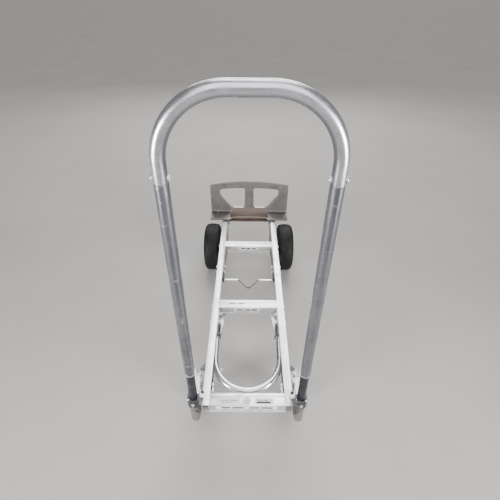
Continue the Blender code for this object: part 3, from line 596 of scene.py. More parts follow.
add_looks(
    "steel",
    plate=metal("caster_steel", (0.2, 0.21, 0.23), (0.12, 0.12, 0.12), 0.9, 0.4, "y", 0.1, 0.6, 0.8,
        0.35, dirt_and_shade=(0.1, 0.07, 0.05), blotch_scale=50),
    steel=metal("zinc_steel", (0.84, 0.84, 0.86), (0.56, 0.55, 0.54), 0.95, 0.27, "y", 0.1, 0.6, 0.7,
        0.4, dirt_and_shade=(0.16, 0.1, 0.06), blotch_scale=60))
add_looks(
    "dark_steel",
    dark=metal("dark_steel", (0.032, 0.037, 0.048), (0.012, 0.013, 0.016), 0.55, 0.3, "z", 0.6, 0.6,
        0.8, 0.35, worn=(0.45, 0.47, 0.5), dirt_and_shade=(0.015, 0.014, 0.013)),
    black=metal("black_oxide", (0.035, 0.035, 0.038), (0.02, 0.02, 0.02), 0.6, 0.42, "y", 0.1, 0.5, 0.5,
        worn=(0.4, 0.4, 0.41)))
add_looks(
    "rim_paint",
    rim=metal("rim_paint", (0.62, 0.62, 0.6), (0.4, 0.38, 0.35), 0.0, 0.38, "y", 0.05, 0.5, 0.8, 0.3,
        worn=(0.45, 0.43, 0.4), dirt_and_shade=(0.12, 0.09, 0.07), blotch_scale=40))
# A rubber or plastic: name, colour, dust colour, dustiness, roughness.
add_looks(
    "tyre",
    tyre=rubber("tyre_rubber", (0.003, 0.003, 0.0035), (0.11, 0.1, 0.085), 0.24, 0.52, gloss=0.28))
add_looks(
    "grey_rubber",
    foot=rubber("foot_rubber", (0.105, 0.098, 0.092), PLASTIC_DUST, 0.5),
    tread=rubber("caster_rubber", (0.17, 0.17, 0.175), (0.28, 0.26, 0.24), 0.5, 0.66))
add_looks(
    "plastic",
    core=rubber("caster_core_plastic", (0.34, 0.34, 0.35), PLASTIC_DUST, 0.3, 0.42, grain=0.00002),
    plug=rubber("plug_plastic", (0.02, 0.02, 0.021), (0.2, 0.18, 0.16), 0.3, 0.5, grain=0.00002),
    label=rubber("label_film", (0.6, 0.59, 0.65), PAPER_DUST, 0.2, 0.35, **FILM_GRAIN),
    film=rubber("pale_film", (0.7, 0.68, 0.68), PAPER_DUST, 0.2, 0.42, **FILM_GRAIN),
    print=rubber("label_print", (0.012, 0.012, 0.015), (0.2, 0.19, 0.18), 0.1, 0.4, **FILM_GRAIN),
    round_label=rubber("round_label_film", (0.26, 0.31, 0.16), PAPER_DUST, 0.2, 0.35, **FILM_GRAIN))


# ---- frame

RAIL_BOLT_Z, CROSSBAR_BOLT_Z = -0.02, -0.017
PIVOT_BOLTS = (0.06, 0.088)
BRACE_BOLTS = (0.382, 0.431)
AXLE_BOLTS = (0.708, 0.752, 1.13)
NOSE_BOLTS = (1.17, 1.215)
M8, M6 = 0.004, 0.003
FILM = 0.00012
STRAP_HALF = 0.008
STRAP_Y = local("v_brace")[1].y - STRAP_HALF
CROSSBARS = ("handle_end_crossbar", "middle_crossbar", "nose_end_crossbar")
KEPT_NODES = (("rail", "rail", 0.0014), ("brace_clamp", "clamp", 0.0006),
              ("caster_bracket", "bracket_plate", 0.0007), ("pivot_bracket", "bracket", 0.0009),
              ("caster_plate", "plate", 0.0007), ("caster_fork", "plate", 0.0009),
              ("pivot_collar", "bracket", 0.0014), ("pivot_pin", "black", 0.0008),
              ("latch_spring", "latch", 0.0003), ("lock_pin", "steel", 0.0003))


def dress_nodes():
    for label, _ in SIDES:
        for part, look, bevel in KEPT_NODES:
            dress(f"{label}_{part}", look, bevel)
    for name in CROSSBARS:
        dress(name, "crossbar", 0.0006)


def build_v_strap():
    """Flat bright ends under the rails and a narrower dip between them, the same strap in a black finish
    as painted shade.
    """
    low, high = local("v_brace")
    y, half = STRAP_Y, 0.0525
    dip = high.y - low.y - 2 * STRAP_HALF
    end = [(high.x, y - STRAP_HALF), (high.x, y + STRAP_HALF), (0.134, y + STRAP_HALF),
           (0.127, y + 0.0005), (half, y + 0.0005), (half - 0.005, y - 0.002), (half, y - STRAP_HALF)]
    bm = bmesh.new()
    for _, side in SIDES:
        slab(bm, [fillet(mirror(end, side), 0.002, 3)], low.z, high.z, "xy")
    piece(bm, "v_strap_ends", "frame", "strap", "v_brace", bevel=0.0005)
    bend, width = 0.012, 0.0072
    curve = dip / (bend * (2 * half - bend))
    ends = [(half + 0.004, y - 0.004), (half - 0.002, y - 0.003)]
    line = ends + [(bend * i / 6, y - dip + curve * (bend * i / 6) ** 2) for i in range(6, -7, -1)]
    line += reversed(mirror(ends, -1))
    outline = [(u, v - width / 2) for u, v in line] + [(u, v + width / 2) for u, v in reversed(line)]
    # painted shade: the dip takes the black finish because it lies in shade, though it is the same strap
    # as the bright ends
    single(slab, ([outline], low.z + 0.0004, high.z - 0.0004, "xy"), "v_strap_shaded_dip", "frame", "black",
           bevel=0.0004)


def build_rail_bolts():
    """The bolts through each rail, with their heads outside; low round heads clear the handle."""
    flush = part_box("right_pivot_bracket")[1].x - RAIL_OUTER - 0.0004
    hanger, clamp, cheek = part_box("right_axle_bracket")[0].x, RAIL_INNER - 0.0043, RAIL_INNER - 0.01
    rows = ((AXLE_BOLTS, hanger, 0.0), (BRACE_BOLTS, clamp, 0.0), (NOSE_BOLTS, cheek, 0.0),
            (PIVOT_BOLTS, RAIL_INNER, flush))
    for label, side in SIDES:
        bm = bmesh.new()

        def through(y, inner, z, flat, **kind):
            head = at(side * RAIL_OUTER, y, z)
            bolt(bm, head, (-side, 0, 0), RAIL_OUTER - inner, M8, flat=flat, **kind)

        for places, inner, flat in rows:
            for y in places:
                through(y, inner, RAIL_BOLT_Z, flat)
        for name, flat in zip(CROSSBARS, (flush, 0.0, 0.0)):
            through(middle(name).y - RAIL_LOW.y, RAIL_INNER + 0.004, CROSSBAR_BOLT_Z, flat, nut=False)
        piece(bm, f"{label}_rail_bolts", "frame", "steel")


def build_labels():
    """The crossbars' lower lips, and blank films where they carry stickers."""
    for name, (x0, x1) in zip(CROSSBARS, ((-0.104, 0.1), (-0.06, 0.05), (-0.052, 0.048))):
        y, foot = local(name)[0].y, local(name)[0].z
        film = fillet(rectangle(x0, x1, -0.023, -0.004), 0.002, 3)
        single(slab, ([film], y - FILM, y + 0.0001, "xz"), f"{name}_label", "frame", "label")
        lip = fillet(rectangle(y - 0.0032, y - 0.0002, foot, foot + 0.0024), 0.0008, 3)
        single(slab, ([lip], GAP - RAIL_INNER, RAIL_INNER - GAP, "yz"), f"{name}_lip", "frame", "latch")
    y = local(CROSSBARS[0])[0].y
    spot = at(-0.002, y + 0.016, -0.0001)
    single(turned, (spot, Z, [(0.0135, 0), (0.0135, 0.00015)], 48), "round_label_film", "frame", "film")
    under, over = 0.0001, 0.00022
    bm = bmesh.new()
    lathe(bm, band(0.0118, 0.0095, over, under), spot, Z, 48)
    for turn in (25, 145, 265):
        dot = spot + Vector((cos(radians(turn)), sin(radians(turn)), 0)) * 0.0042
        turned(bm, dot, Z, [(0.003, under), (0.003, over)])
    piece(bm, "round_label_marks", "frame", "round_label")
    bm = bmesh.new()
    for x0, x1 in ((-0.105, -0.026), (0.026, 0.088)):
        slab(bm, [fillet(rectangle(x0, x1, y + 0.0045, y + 0.027), 0.0015, 3)], -0.0001, FILM, "xy")
    piece(bm, "top_label_films", "frame", "film")


def build_label_bars():
    """Plain printed bars, which say nothing, in place of a sticker's lettering."""
    near, ink = local(CROSSBARS[0])[0].y, 0.0001
    bm = bmesh.new()
    for x0, x1, y0, y1 in ((0.032, 0.079, 0.0085, 0.015), (0.036, 0.07, 0.0185, 0.0205),
                           (-0.094, -0.06, 0.0165, 0.018), (-0.056, -0.034, 0.0165, 0.018),
                           (-0.09, -0.05, 0.0105, 0.012)):
        slab(bm, [rectangle(x0, x1, near + y0, near + y1)], FILM, 0.0002, "xy")
    top = middle("middle_crossbar").y - RAIL_LOW.y
    for x0, x1, half in ((-0.082, -0.051, 0.003), (-0.046, -0.014, 0.003), (-0.008, 0.076, 0.0012)):
        slab(bm, [rectangle(x0, x1, top - half, top + half)], -ink, ink, "xy")
    face_bars = (((-0.086, -0.056), (-0.05, -0.012), (0.006, 0.04), (0.046, 0.086)),
                 ((-0.05, -0.022), (-0.016, 0.008), (0.014, 0.04)),
                 ((-0.04, -0.018), (-0.01, 0.01), (0.018, 0.038)))
    for name, bars in zip(CROSSBARS, face_bars):
        y = local(name)[0].y - FILM
        for x0, x1 in bars:
            slab(bm, [rectangle(x0, x1, -0.0185, -0.01)], y - ink, y, "xz")
    piece(bm, "label_bars", "frame", "print")


# ---- nose plate

BLADE_THICK = 0.01


def nose_window(side):
    """A blade window: flat arched top, upright inner edge, slanted lower outer corner."""
    corners = [(0.0255, 0.1705), (0.1, 0.1675), (0.1715, 0.1605), (0.1715, 0.128), (0.101, 0.043),
               (0.0275, 0.043)]
    return mirror(fillet(corners, [0.011, 0.0, 0.014, 0.022, 0.012, 0.012], 6), side)


def build_nose_plate():
    """The casting: blade, curled lip below it, and a shelf and cheek against each rail."""
    low, high = local("nose_plate")
    half, far, heel, top, bottom = high.x, high.y, low.y, high.z, low.z
    near, corner, shelf_top, shelf_foot = far - BLADE_THICK, 0.19, 0.015, 0.0012
    across = [1 - 2 * i / 24 for i in range(25)]
    crown = [(half * 0.985 * t, corner + (top - corner) * (1 - t ** 2)) for t in across]
    skirt = [(-half, 0.001), (-RAIL_OUTER, 0.001), (-RAIL_OUTER, bottom), (RAIL_OUTER, bottom),
             (RAIL_OUTER, 0.001), (half, 0.001)]
    blade = skirt + [(half, corner - 0.01), *crown, (-half, corner - 0.01)]
    bm = bmesh.new()
    slab(bm, [blade, nose_window(-1), nose_window(1)], near + 0.0005, far, "xz")
    curl = [(0.002, 0.0), (-0.01, 0.0015), (-0.022, 0.006), (-0.036, 0.007)]
    lip = [(near + dy, bottom + dz + 0.0005) for dy, dz in curl]
    lip += [(near + dy, bottom + dz + 0.006) for dy, dz in reversed(curl)]
    slab(bm, [lip], -RAIL_INNER + 0.012, RAIL_INNER - 0.012, "yz")
    shelf = [(heel + 0.008, shelf_foot), (near + 0.004, shelf_foot), (near + 0.004, 0.021),
             (near - 0.004, shelf_top - 0.0005), (heel + 0.006, shelf_top - 0.0015),
             (heel + 0.0005, shelf_top), (heel + 0.0005, shelf_foot + 0.004)]
    cheek = [(heel - 0.006, -0.012), (heel - 0.006, bottom + 0.004), (near + 0.004, bottom + 0.002),
             (near + 0.004, 0.004), (heel + 0.006, 0.004)]
    for _, side in SIDES:
        side_slab(bm, shelf, side, RAIL_INNER - 0.0173, half - 0.0006)
        side_slab(bm, cheek, side, RAIL_INNER - 0.01, RAIL_INNER - 0.0006)
    cast(bm, "nose_plate_casting", "frame", "casting", "nose_plate", voxel=0.0021)
    # painted highlight with wear: a pale tan bar on the lip's top edge, much lighter than the casting,
    # gives that edge its bright line
    reach, bow = 0.112, 0.005
    stations = [reach * (i / 12 - 1) for i in range(25)]
    ridge = [at(x, near - 0.0012, bottom + 0.0215 - bow * (x / reach) ** 2) for x in stations]
    single(sweep, (ridge, 0.0024, 0.0, 16), "nose_plate_lip", "frame", "lip")
    # painted highlight: bright bars along the windows' lower sills stand for the light those edges
    # reflect
    bm = bmesh.new()
    for _, side in SIDES:
        sweep(bm, [at(side * x, near + 0.0032, 0.0428) for x in (0.036, 0.064, 0.093)], 0.0029, 0.0, 16)
    piece(bm, "nose_window_sill_highlights", "frame", "latch")


# ---- axle and wheels

AXLE = middle("axle")
TYRE_RADIUS, TYRE_HALF = size("right_tyre").z / 2, size("right_tyre").x / 2
WHEEL_X = middle("right_tyre").x
RIM_FLANGE = size("right_rim").z / 2
HUB_RADIUS, HUB_HALF = size("right_hub").z / 2, size("right_hub").x / 2
LUGS = 40
LUG_NOTCH, GROOVE = 0.0026, 0.0032
CROWN_DROP, CROWN_HALF = 0.0036, 0.03


def tyre_skin():
    """Outer half-section from the crown to the bead: (radius, distance, whether a lug is cut)."""
    ribs = ((0.0, 0), (0.003, 0), (0.0034, 1), (0.0062, 1), (0.0066, 0), (0.0128, 0), (0.0132, 1),
            (0.016, 1), (0.0164, 0), (0.0232, 0), (0.0236, 1), (0.0262, 1))
    skin = [(TYRE_RADIUS - CROWN_DROP * (a / CROWN_HALF) ** 2 - cut * GROOVE, a, False)
            for a, cut in ribs]
    shoulder = ((0.003, 0.0266), (0.004, 0.03), (0.0066, 0.034), (0.0112, 0.0375))
    skin += [(TYRE_RADIUS - drop, a, True) for drop, a in shoulder]
    wall = ((0.015, 0.0405), (0.0152, 0.0398), (0.018, 0.0412), (0.024, 0.0436), (0.03, 0.0452),
            (0.038, TYRE_HALF - 0.0006), (0.04, TYRE_HALF), (0.0425, TYRE_HALF),
            (0.044, TYRE_HALF - 0.0008), (0.052, 0.0447), (0.06, 0.0415), (0.064, 0.0402),
            (0.0655, 0.0404), (0.0668, 0.0392), (0.073, 0.0358), (0.0765, 0.0345))
    skin += [(TYRE_RADIUS - drop, a, False) for drop, a in wall]
    widest = max(a for _, a, _ in skin)
    return [(r, a * TYRE_HALF / widest, lug) for r, a, lug in skin]


def build_tyre(label, centre):
    skin = tyre_skin()
    bead = RIM_FLANGE - 0.005
    profile = [(r, -a, lug) for r, a, lug in reversed(skin)] + skin[1:]
    profile += [(bead, 0.0325, False), (bead, -0.0325, False)]

    def wave(points, i):
        notch = LUG_NOTCH if i % 4 in (0, 1) else 0.0
        return [(r - notch if lug else r, a) for r, a, lug in points]

    single(lathe, (profile, centre, X, LUGS * 4, wave), f"{label}_tyre_tread", f"{label}_wheel", "tyre",
           f"{label}_tyre", angle=38)


def build_rim(label, side, centre):
    """Split rim with a dished disc, its five bolts and the valve stem."""
    flange, seat, sleeve = RIM_FLANGE, 0.0508, HUB_RADIUS + 0.0004
    outer = [(flange, 0.0362), (flange - 0.0008, 0.0366), (flange - 0.003, 0.0366),
             (seat - 0.003, 0.0352), (seat - 0.0045, 0.033), (seat - 0.0045, 0.014),
             (seat - 0.0075, 0.0095), (seat - 0.0135, 0.0085), (0.03, 0.0105),
             (HUB_RADIUS + 0.004, 0.0085), (sleeve, 0.006)]
    inner = [(sleeve, 0.0025), (HUB_RADIUS + 0.004, 0.0055), (0.03, 0.0075), (seat - 0.0135, 0.0055),
             (seat - 0.007, 0.006), (seat - 0.0068, -0.034), (seat - 0.0045, -0.0358),
             (flange - 0.003, -0.0366), (flange - 0.0008, -0.0366), (flange, -0.0362),
             (flange, -0.0346), (seat, -0.0335), (seat, 0.0335), (flange, 0.0346)]
    profile = [(r, a * side) for r, a in outer + inner]
    wheel = f"{label}_wheel"
    single(lathe, (profile, centre, X, 72), f"{label}_rim_disc", wheel, "rim", f"{label}_rim", angle=40)
    out = Vector((side, 0, 0))
    bolt_circle, across = 0.0345, 0.0056
    bm = bmesh.new()
    for i in range(5):
        turn = tau * (i + 0.25) / 5
        spot = centre + Vector((0, cos(turn), sin(turn))) * bolt_circle
        hexagon(bm, spot + out * 0.0088, out, across, 0.004)
        hexagon(bm, spot + out * 0.0068, -out, across, 0.0048)
        turned(bm, spot, out, [(0.0028, -0.0005), (0.0028, 0.0145), (0.0022, 0.0152)], 16)
    piece(bm, f"{label}_rim_bolts", wheel, "steel")
    spot = centre + Vector((side * 0.0095, 0, 0)) + Vector((0, -0.62, 0.78)).normalized() * 0.0455
    stem = [(0.0052, -0.004), (0.0052, 0.002), (0.0038, 0.0035), (0.0032, 0.014), (0.0036, 0.0142),
            (0.0036, 0.02), (0.003, 0.0212)]
    single(turned, (spot, (side, 0.1, -0.12), stem, 20), f"{label}_valve_stem", wheel, "plug")


def build_hub(label, centre):
    """The hub sleeve and the races of the bearings pressed into its ends."""
    hub, half, seat = HUB_RADIUS, HUB_HALF, 0.0178
    wheel = f"{label}_wheel"
    sleeve = [(hub - 0.0008, half), (hub, half - 0.0008), (hub, half - 0.01),
              (hub - 0.002, half - 0.012), (hub - 0.002, 0.01 - half), (hub, 0.008 - half),
              (hub, 0.0008 - half), (hub - 0.0008, -half), (seat + 0.0005, -half),
              (seat, 0.0005 - half), (seat, half - 0.0005), (seat + 0.0005, half)]
    single(lathe, (sleeve, centre, X, 48), f"{label}_hub_sleeve", wheel, "steel", f"{label}_hub")
    for place in ("inner", "outer"):
        node = f"{label}_{place}_bearing"
        width, outer, bore = size(node).x / 2, size(node).z / 2, 0.0083
        ring, sunk = 0.0026, width - 0.0012
        race = both_ways([(bore, width), (bore + 0.0028, width), (bore + 0.0028, sunk),
                          (outer - ring, sunk), (outer - ring, width), (outer, width)])
        race = fillet(race, 0.0003, 2)
        single(lathe, (race, middle(node), X, 40), f"{node}_race", wheel, "steel", node)


def build_axle():
    half, radius, chamfer = size("axle").x / 2, size("axle").z / 2, 0.0015
    rod = [(radius - chamfer, 0), (radius, chamfer), (radius, 2 * half - chamfer),
           (radius - chamfer, 2 * half)]
    single(turned, (AXLE - X * half, X, rod, 48), "axle_rod", "frame", "steel", "axle")
    for label, _ in SIDES:
        for node in (f"{label}_axle_spacer", f"{label}_axle_washer"):
            width, outer = size(node).x / 2, size(node).z / 2
            ring = fillet(band(outer, radius + 0.0004, width, -width), 0.0004, 2)
            single(lathe, (ring, middle(node), X, 40), f"{node}_ring", "frame", "steel", node)
        build_cotter_pin(label)


def build_cotter_pin(label):
    """A split pin: eye above the axle, two legs bent apart below it."""
    node = f"{label}_cotter_pin"
    centre, reach = middle(node), size(node).z / 2
    wire, eye_radius = 0.0008, 0.003
    eye = [(eye_radius * sin(radians(a)), eye_radius * (1 - cos(radians(a))))
           for a in range(20, 181, 20)]
    plan = [(0.0042, -reach + 0.0012), (0.0026, -reach + 0.0026), (0.001, -reach + 0.0042),
            (wire * 1.05, -0.007), (wire * 1.05, reach - 0.008)]
    plan += [(dx + wire * 0.9, reach - 0.0072 + dz) for dx, dz in eye]
    bm = bmesh.new()
    for leg in (-1, 1):
        sweep(bm, [centre + Vector((0, leg * u, v)) for u, v in plan], wire, 0.0, 12, 0.0002)
    piece(bm, f"{label}_split_pin", "frame", "steel", node)


def build_axle_brackets():
    """Triangular castings with a raised rim round their windows and a boss at the axle."""
    bar_low, bar_high = local("nose_end_crossbar")
    bar_near, bar_far, under = bar_low.y - 0.004, bar_high.y + 0.004, bar_low.z - 0.0025
    hanger = arc((AXLE.y - RAIL_LOW.y, AXLE.z - DECK), 0.024, -20, -160, 14)
    outline = [(0.69, -0.004), (bar_near, -0.004), (bar_near, under), (bar_far, under),
               (bar_far, -0.004), (1.148, -0.004), (1.148, -0.036), *hanger, (0.73, -0.036),
               (0.69, -0.03)]
    windows = [fillet([(0.895, -0.0445), (0.985, -0.0445), (0.985, -0.08)], 0.006),
               fillet([(1.005, -0.0445), (1.1, -0.0445), (1.086, -0.084), (1.05, -0.084),
                       (1.005, -0.076)], 0.006)]
    boss = fillet(band(0.0205, 0.0085, 0.0, 0.0042), 0.0008, 3)
    rim_width, rim_height = 0.0045, 0.0022
    for label, side in SIDES:
        low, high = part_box(f"{label}_axle_bracket")
        face, back = (low.x, high.x) if side > 0 else (high.x, low.x)
        single(slab, ([outline, *windows], face, back, "yz"), f"{label}_axle_hanger", "frame", "casting",
               f"{label}_axle_bracket", bevel=0.0009)
        bm = bmesh.new()
        lathe(bm, boss, Vector((face, AXLE.y, AXLE.z)), Vector((-side, 0, 0)), 40)
        for loop in windows:
            centre = Vector((sum(u for u, _ in loop) / len(loop), sum(v for _, v in loop) / len(loop)))
            spokes = [Vector(p) - centre for p in loop]
            rim = [tuple(centre + spoke * (1 + rim_width / spoke.length)) for spoke in spokes]
            slab(bm, [rim, loop], *sorted((face + side * 0.0001, face - side * rim_height)), "yz")
        piece(bm, f"{label}_axle_hanger_rims", "frame", "casting", bevel=0.0006)


# ---- casters

PLATE_BOLT_X, PLATE_BOLT_Y = 0.016, 0.03
RAIL_PLATE_BOLTS = (0.144, 0.182)
RAIL_MIDDLE = 0.1475
PLATE_THICK = 0.0045


def build_caster(label, side):
    """The race under the plate, the wheel, and the bolts through the fork, plate and rail."""
    high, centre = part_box(f"{label}_caster_plate")[1], middle(f"{label}_caster_plate")
    underside = high.z - PLATE_THICK
    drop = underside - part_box(f"{label}_caster_fork")[1].z - 0.0002
    skirt = fillet([(0.0243, -0.001), (0.0258, -0.001), (0.0262, -0.003), (0.0262, -drop),
                    (0.0243, -drop)], 0.0004, 3)
    single(lathe, (skirt, Vector((centre.x, centre.y, underside)), Z, 48), f"{label}_caster_race",
           f"{label}_caster", "plate")
    build_caster_wheel(label)
    node, grip = f"{label}_caster_axle", size(f"{label}_caster_fork").x
    bm = bmesh.new()
    bolt(bm, middle(node) + X * side * (grip / 2), (-side, 0, 0), grip, 0.0047, head=0.0048)
    piece(bm, f"{node}_bolt", f"{label}_caster", "steel", node)
    bm = bmesh.new()
    for dx in (-PLATE_BOLT_X, PLATE_BOLT_X):
        for dy in (-PLATE_BOLT_Y, PLATE_BOLT_Y):
            point = Vector((centre.x + dx, centre.y + dy, underside))
            bolt(bm, point, Z, high.z + GAP + 0.004 - underside, 0.0038, flat=0.0024)
    for y in RAIL_PLATE_BOLTS:
        bolt(bm, at(side * RAIL_MIDDLE, y, -RAIL_HEIGHT - GAP - 0.004), Z, 0.01, M6, nut=False)
    piece(bm, f"{label}_caster_bolts", "frame", "steel")


def wedge(bm, sections):
    """A six-sided block between two sections of four points."""
    v = [bm.verts.new(point) for section in sections for point in section]
    for quad in ((0, 1, 3, 2), (4, 6, 7, 5), (0, 4, 5, 1), (2, 3, 7, 6), (1, 5, 7, 3), (0, 2, 6, 4)):
        bm.faces.new([v[k] for k in quad])


def build_caster_wheel(label):
    """A crowned tread on a core with a webbed rim, eight ribs a side and a hub."""
    tread, core, body = f"{label}_caster_tread", f"{label}_caster_core", f"{label}_caster_wheel"
    spot, radius, half = middle(tread), size(tread).z / 2, size(tread).x / 2
    inner = 0.0473
    corners = [(inner, half), (radius - 0.0065, half), (radius - 0.0012, half - 0.0045), (radius, 0.0),
               (radius - 0.0012, 0.0045 - half), (radius - 0.0065, -half), (inner, -half)]
    crowned = fillet(corners, [0.0004, 0.003, 0.004, 0.05, 0.004, 0.003, 0.0004])
    single(lathe, (crowned, spot, X, 96), f"{label}_caster_tyre", body, "tread", tread)
    rim, hub, bore, hub_half, web = inner - 0.0003, 0.016, 0.0062, size(core).x / 2, 0.0035
    section = both_ways([(bore, hub_half), (hub, hub_half), (hub + 0.001, web), (rim - 0.007, web),
                         (rim - 0.005, half - 0.001), (rim, half - 0.001)])
    bm = bmesh.new()
    lathe(bm, fillet(section, 0.0007, 2), spot, X, 72)
    for i in range(8):
        turn = tau * i / 8
        out, across = Vector((0, cos(turn), sin(turn))), Vector((0, -sin(turn), cos(turn)))
        for face in (-1, 1):
            wedge(bm, [[spot + out * r + across * w + X * face * d for w in (-wide, wide)
                        for d in (0.003, depth)]
                       for r, wide, depth in ((hub - 0.001, 0.0016, half - web),
                                              (rim - 0.004, 0.0013, half - 0.0045))])
    piece(bm, f"{label}_caster_hub", body, "core", core)


# ---- U-shaped brace

BRACE_RADIUS = 0.0135
BRACE_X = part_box("u_brace")[1].x - BRACE_RADIUS
BRACE_START_Y, BRACE_START_Z, BRACE_SLOPE = 0.395, -0.0525, 0.193
BRACE_BOTTOM_Y = 0.119
BRACE_BOLT_Y, TIE_Y = 0.349, 0.2


def brace_height(y):
    return BRACE_START_Z - (BRACE_START_Y - y) * BRACE_SLOPE


def build_brace():
    lean = cos(atan(BRACE_SLOPE))
    bend_y = BRACE_BOTTOM_Y + BRACE_X * lean
    leg = [(BRACE_X, BRACE_START_Y), (BRACE_X, (BRACE_START_Y + bend_y) / 2)]
    bend = [(BRACE_X * cos(radians(a)), bend_y + BRACE_X * lean * sin(radians(a)))
            for a in range(0, -181, -4)]
    path = [at(x, y, brace_height(y)) for x, y in leg + bend + mirror(leg[::-1], -1)]
    single(sweep, (path, BRACE_RADIUS, BRACE_RADIUS - 0.0018), "brace_tube", "frame", "brace", "u_brace")


def build_brace_fittings():
    """Black plugs and sleeves at the brace's ends, dark plates on the rails' inner faces as painted
    shade, and the bolts that hold the brace.
    """
    plugs_and_shade_plates, bolts = bmesh.new(), bmesh.new()
    tongue, web, brace_inside = BRACE_X - BRACE_RADIUS - GAP - 0.0035, 0.142, 0.1055
    along = Vector((0, 1, BRACE_SLOPE)).normalized()
    inside = BRACE_RADIUS - 0.002
    plug = [(inside, -0.012), (inside, 0.0002), (BRACE_RADIUS, 0.0002), (BRACE_RADIUS, 0.002),
            (BRACE_RADIUS - 0.0012, 0.0032)]
    sleeve = fillet(rectangle(BRACE_RADIUS + 0.0002, BRACE_RADIUS + 0.0009, -0.026, -0.0005), 0.0003, 2)
    shade_pad = [(0.339, -0.0338), (0.374, -0.0338), (0.374, -0.016), (0.356, -0.013), (0.339, -0.022)]
    shade_cover = [(0.652, -0.036), (0.712, -0.03), (0.7, -0.006), (0.652, -0.01)]
    shade_liner = rectangle(0.032, 0.205, -0.04, -0.006)
    shade_filler = [(0.654, -0.034), (0.688, -0.03), (0.688, -0.008), (0.654, -0.012)]
    for _, side in SIDES:
        start = at(side * BRACE_X, BRACE_START_Y, BRACE_START_Z)
        # painted shade in part: the black plug and sleeve at each brace end also give the dark of the
        # shaded gap inside the clamp
        turned(plugs_and_shade_plates, start, along, plug, 36)
        lathe(plugs_and_shade_plates, sleeve, start, along, 36)
        bolt(bolts, at(side * tongue, BRACE_BOLT_Y, brace_height(BRACE_BOLT_Y)), (side, 0, 0),
             BRACE_X + BRACE_RADIUS - tongue, M6)
        tie = at(side * web, TIE_Y, brace_height(TIE_Y))
        bolt(bolts, tie, (-side, 0, 0), web - brace_inside, M6)
        turned(bolts, tie - X * side * 0.0042, (-side, 0, 0), [(0.0055, 0), (0.0055, 0.0058)])
        bolt(bolts, at(side * 0.141, STRAP_Y, -RAIL_HEIGHT - GAP - 0.003), Z, 0.009, M6, nut=False)
        # painted shade: black plates on the rails' inner faces stand for the shade by the clamps, by the
        # axle hangers and along the inner web
        side_slab(plugs_and_shade_plates, fillet(shade_pad, 0.004), side, 0.1135, 0.1226)
        side_slab(plugs_and_shade_plates, fillet(shade_cover, 0.004), side, 0.118, 0.1219)
        side_slab(plugs_and_shade_plates, fillet(shade_liner, 0.004), side, RAIL_INNER - 0.0018, RAIL_INNER - 0.0002)
        side_slab(plugs_and_shade_plates, fillet(shade_filler, 0.003), side, 0.1217, RAIL_INNER - 0.0003)
    piece(plugs_and_shade_plates, "brace_end_plugs_and_shade_plates", "frame", "plug")
    piece(bolts, "brace_bolts", "frame", "steel")


# ---- handle

LEG, LEG_RADIUS = middle("right_handle_leg"), size("right_handle_leg").x / 2
LOOP_RADIUS = size("handle_loop").y / 2
LOOP_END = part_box("handle_loop")[0].z
LOOP_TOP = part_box("handle_loop")[1].z - LOOP_RADIUS
LOOP_CORNER = 0.138


def build_loop():
    corner_z = LOOP_TOP - LOOP_CORNER
    right = arc((LEG.x - LOOP_CORNER, corner_z), LOOP_CORNER, 0, 90, 28)
    half = [(LEG.x, LOOP_END), (LEG.x, (LOOP_END + corner_z) / 2), *right]
    path = [Vector((x, LEG.y, z)) for x, z in half + mirror(half[::-1], -1)]
    single(sweep, (path, LOOP_RADIUS, LOOP_RADIUS - 0.0017, 48, 0.0005), "loop_tube", "handle", "loop",
           "handle_loop")


def build_leg(label, side):
    """Leg tube swaged into the loop, a bright bead round its lower rim as a painted highlight, the inner
    tube and the rubber foot.
    """
    axis = Vector((side * LEG.x, LEG.y, 0))
    low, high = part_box(f"{label}_handle_leg")
    wall, swage, shoulder = 0.0018, 0.014, LOOP_END - 0.0003
    radius, bore = LEG_RADIUS, LEG_RADIUS - wall
    tube = [(swage, high.z), (swage, shoulder), (radius - 0.0004, shoulder), (radius, shoulder - 0.0005),
            (radius, low.z + 0.014), (radius, low.z + 0.0008), (radius - 0.0006, low.z), (bore, low.z),
            (bore, shoulder - 0.004), (swage - wall, shoulder), (swage - wall, high.z)]
    single(lathe, (tube, axis, Z, 48), f"{label}_leg_tube", "handle", "leg", f"{label}_handle_leg")
    # painted highlight: a thin bright ring round the leg's lower rim
    bead = fillet(band(radius + 0.0001, radius - 0.0004, low.z + 0.0045, low.z + 0.0012), 0.0004, 3)
    single(lathe, (bead, axis, Z, 48), f"{label}_leg_bead", "handle", "strap")
    low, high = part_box(f"{label}_inner_tube")
    inner = size("right_inner_tube").x / 2
    tube = band(inner, inner - 0.0025, high.z, low.z)
    single(lathe, (tube, axis, Z, 40), f"{label}_insert_tube", "handle", "dark", f"{label}_inner_tube")
    low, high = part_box(f"{label}_handle_foot")
    radius, nose = size("right_handle_foot").x / 2, 0.012
    foot = [(radius, high.z), (radius, high.z - 0.006), (radius - 0.0006, high.z - 0.0066),
            (radius - 0.0006, high.z - 0.008), (radius, high.z - 0.0086)]
    foot += [(radius * cos(radians(a)), low.z + nose + nose * sin(radians(a)))
             for a in range(0, -81, -8)]
    foot += [(0.002, low.z), (0.002, high.z)]
    single(lathe, (foot, axis, Z, 40), f"{label}_rubber_foot", "handle", "foot", f"{label}_handle_foot")


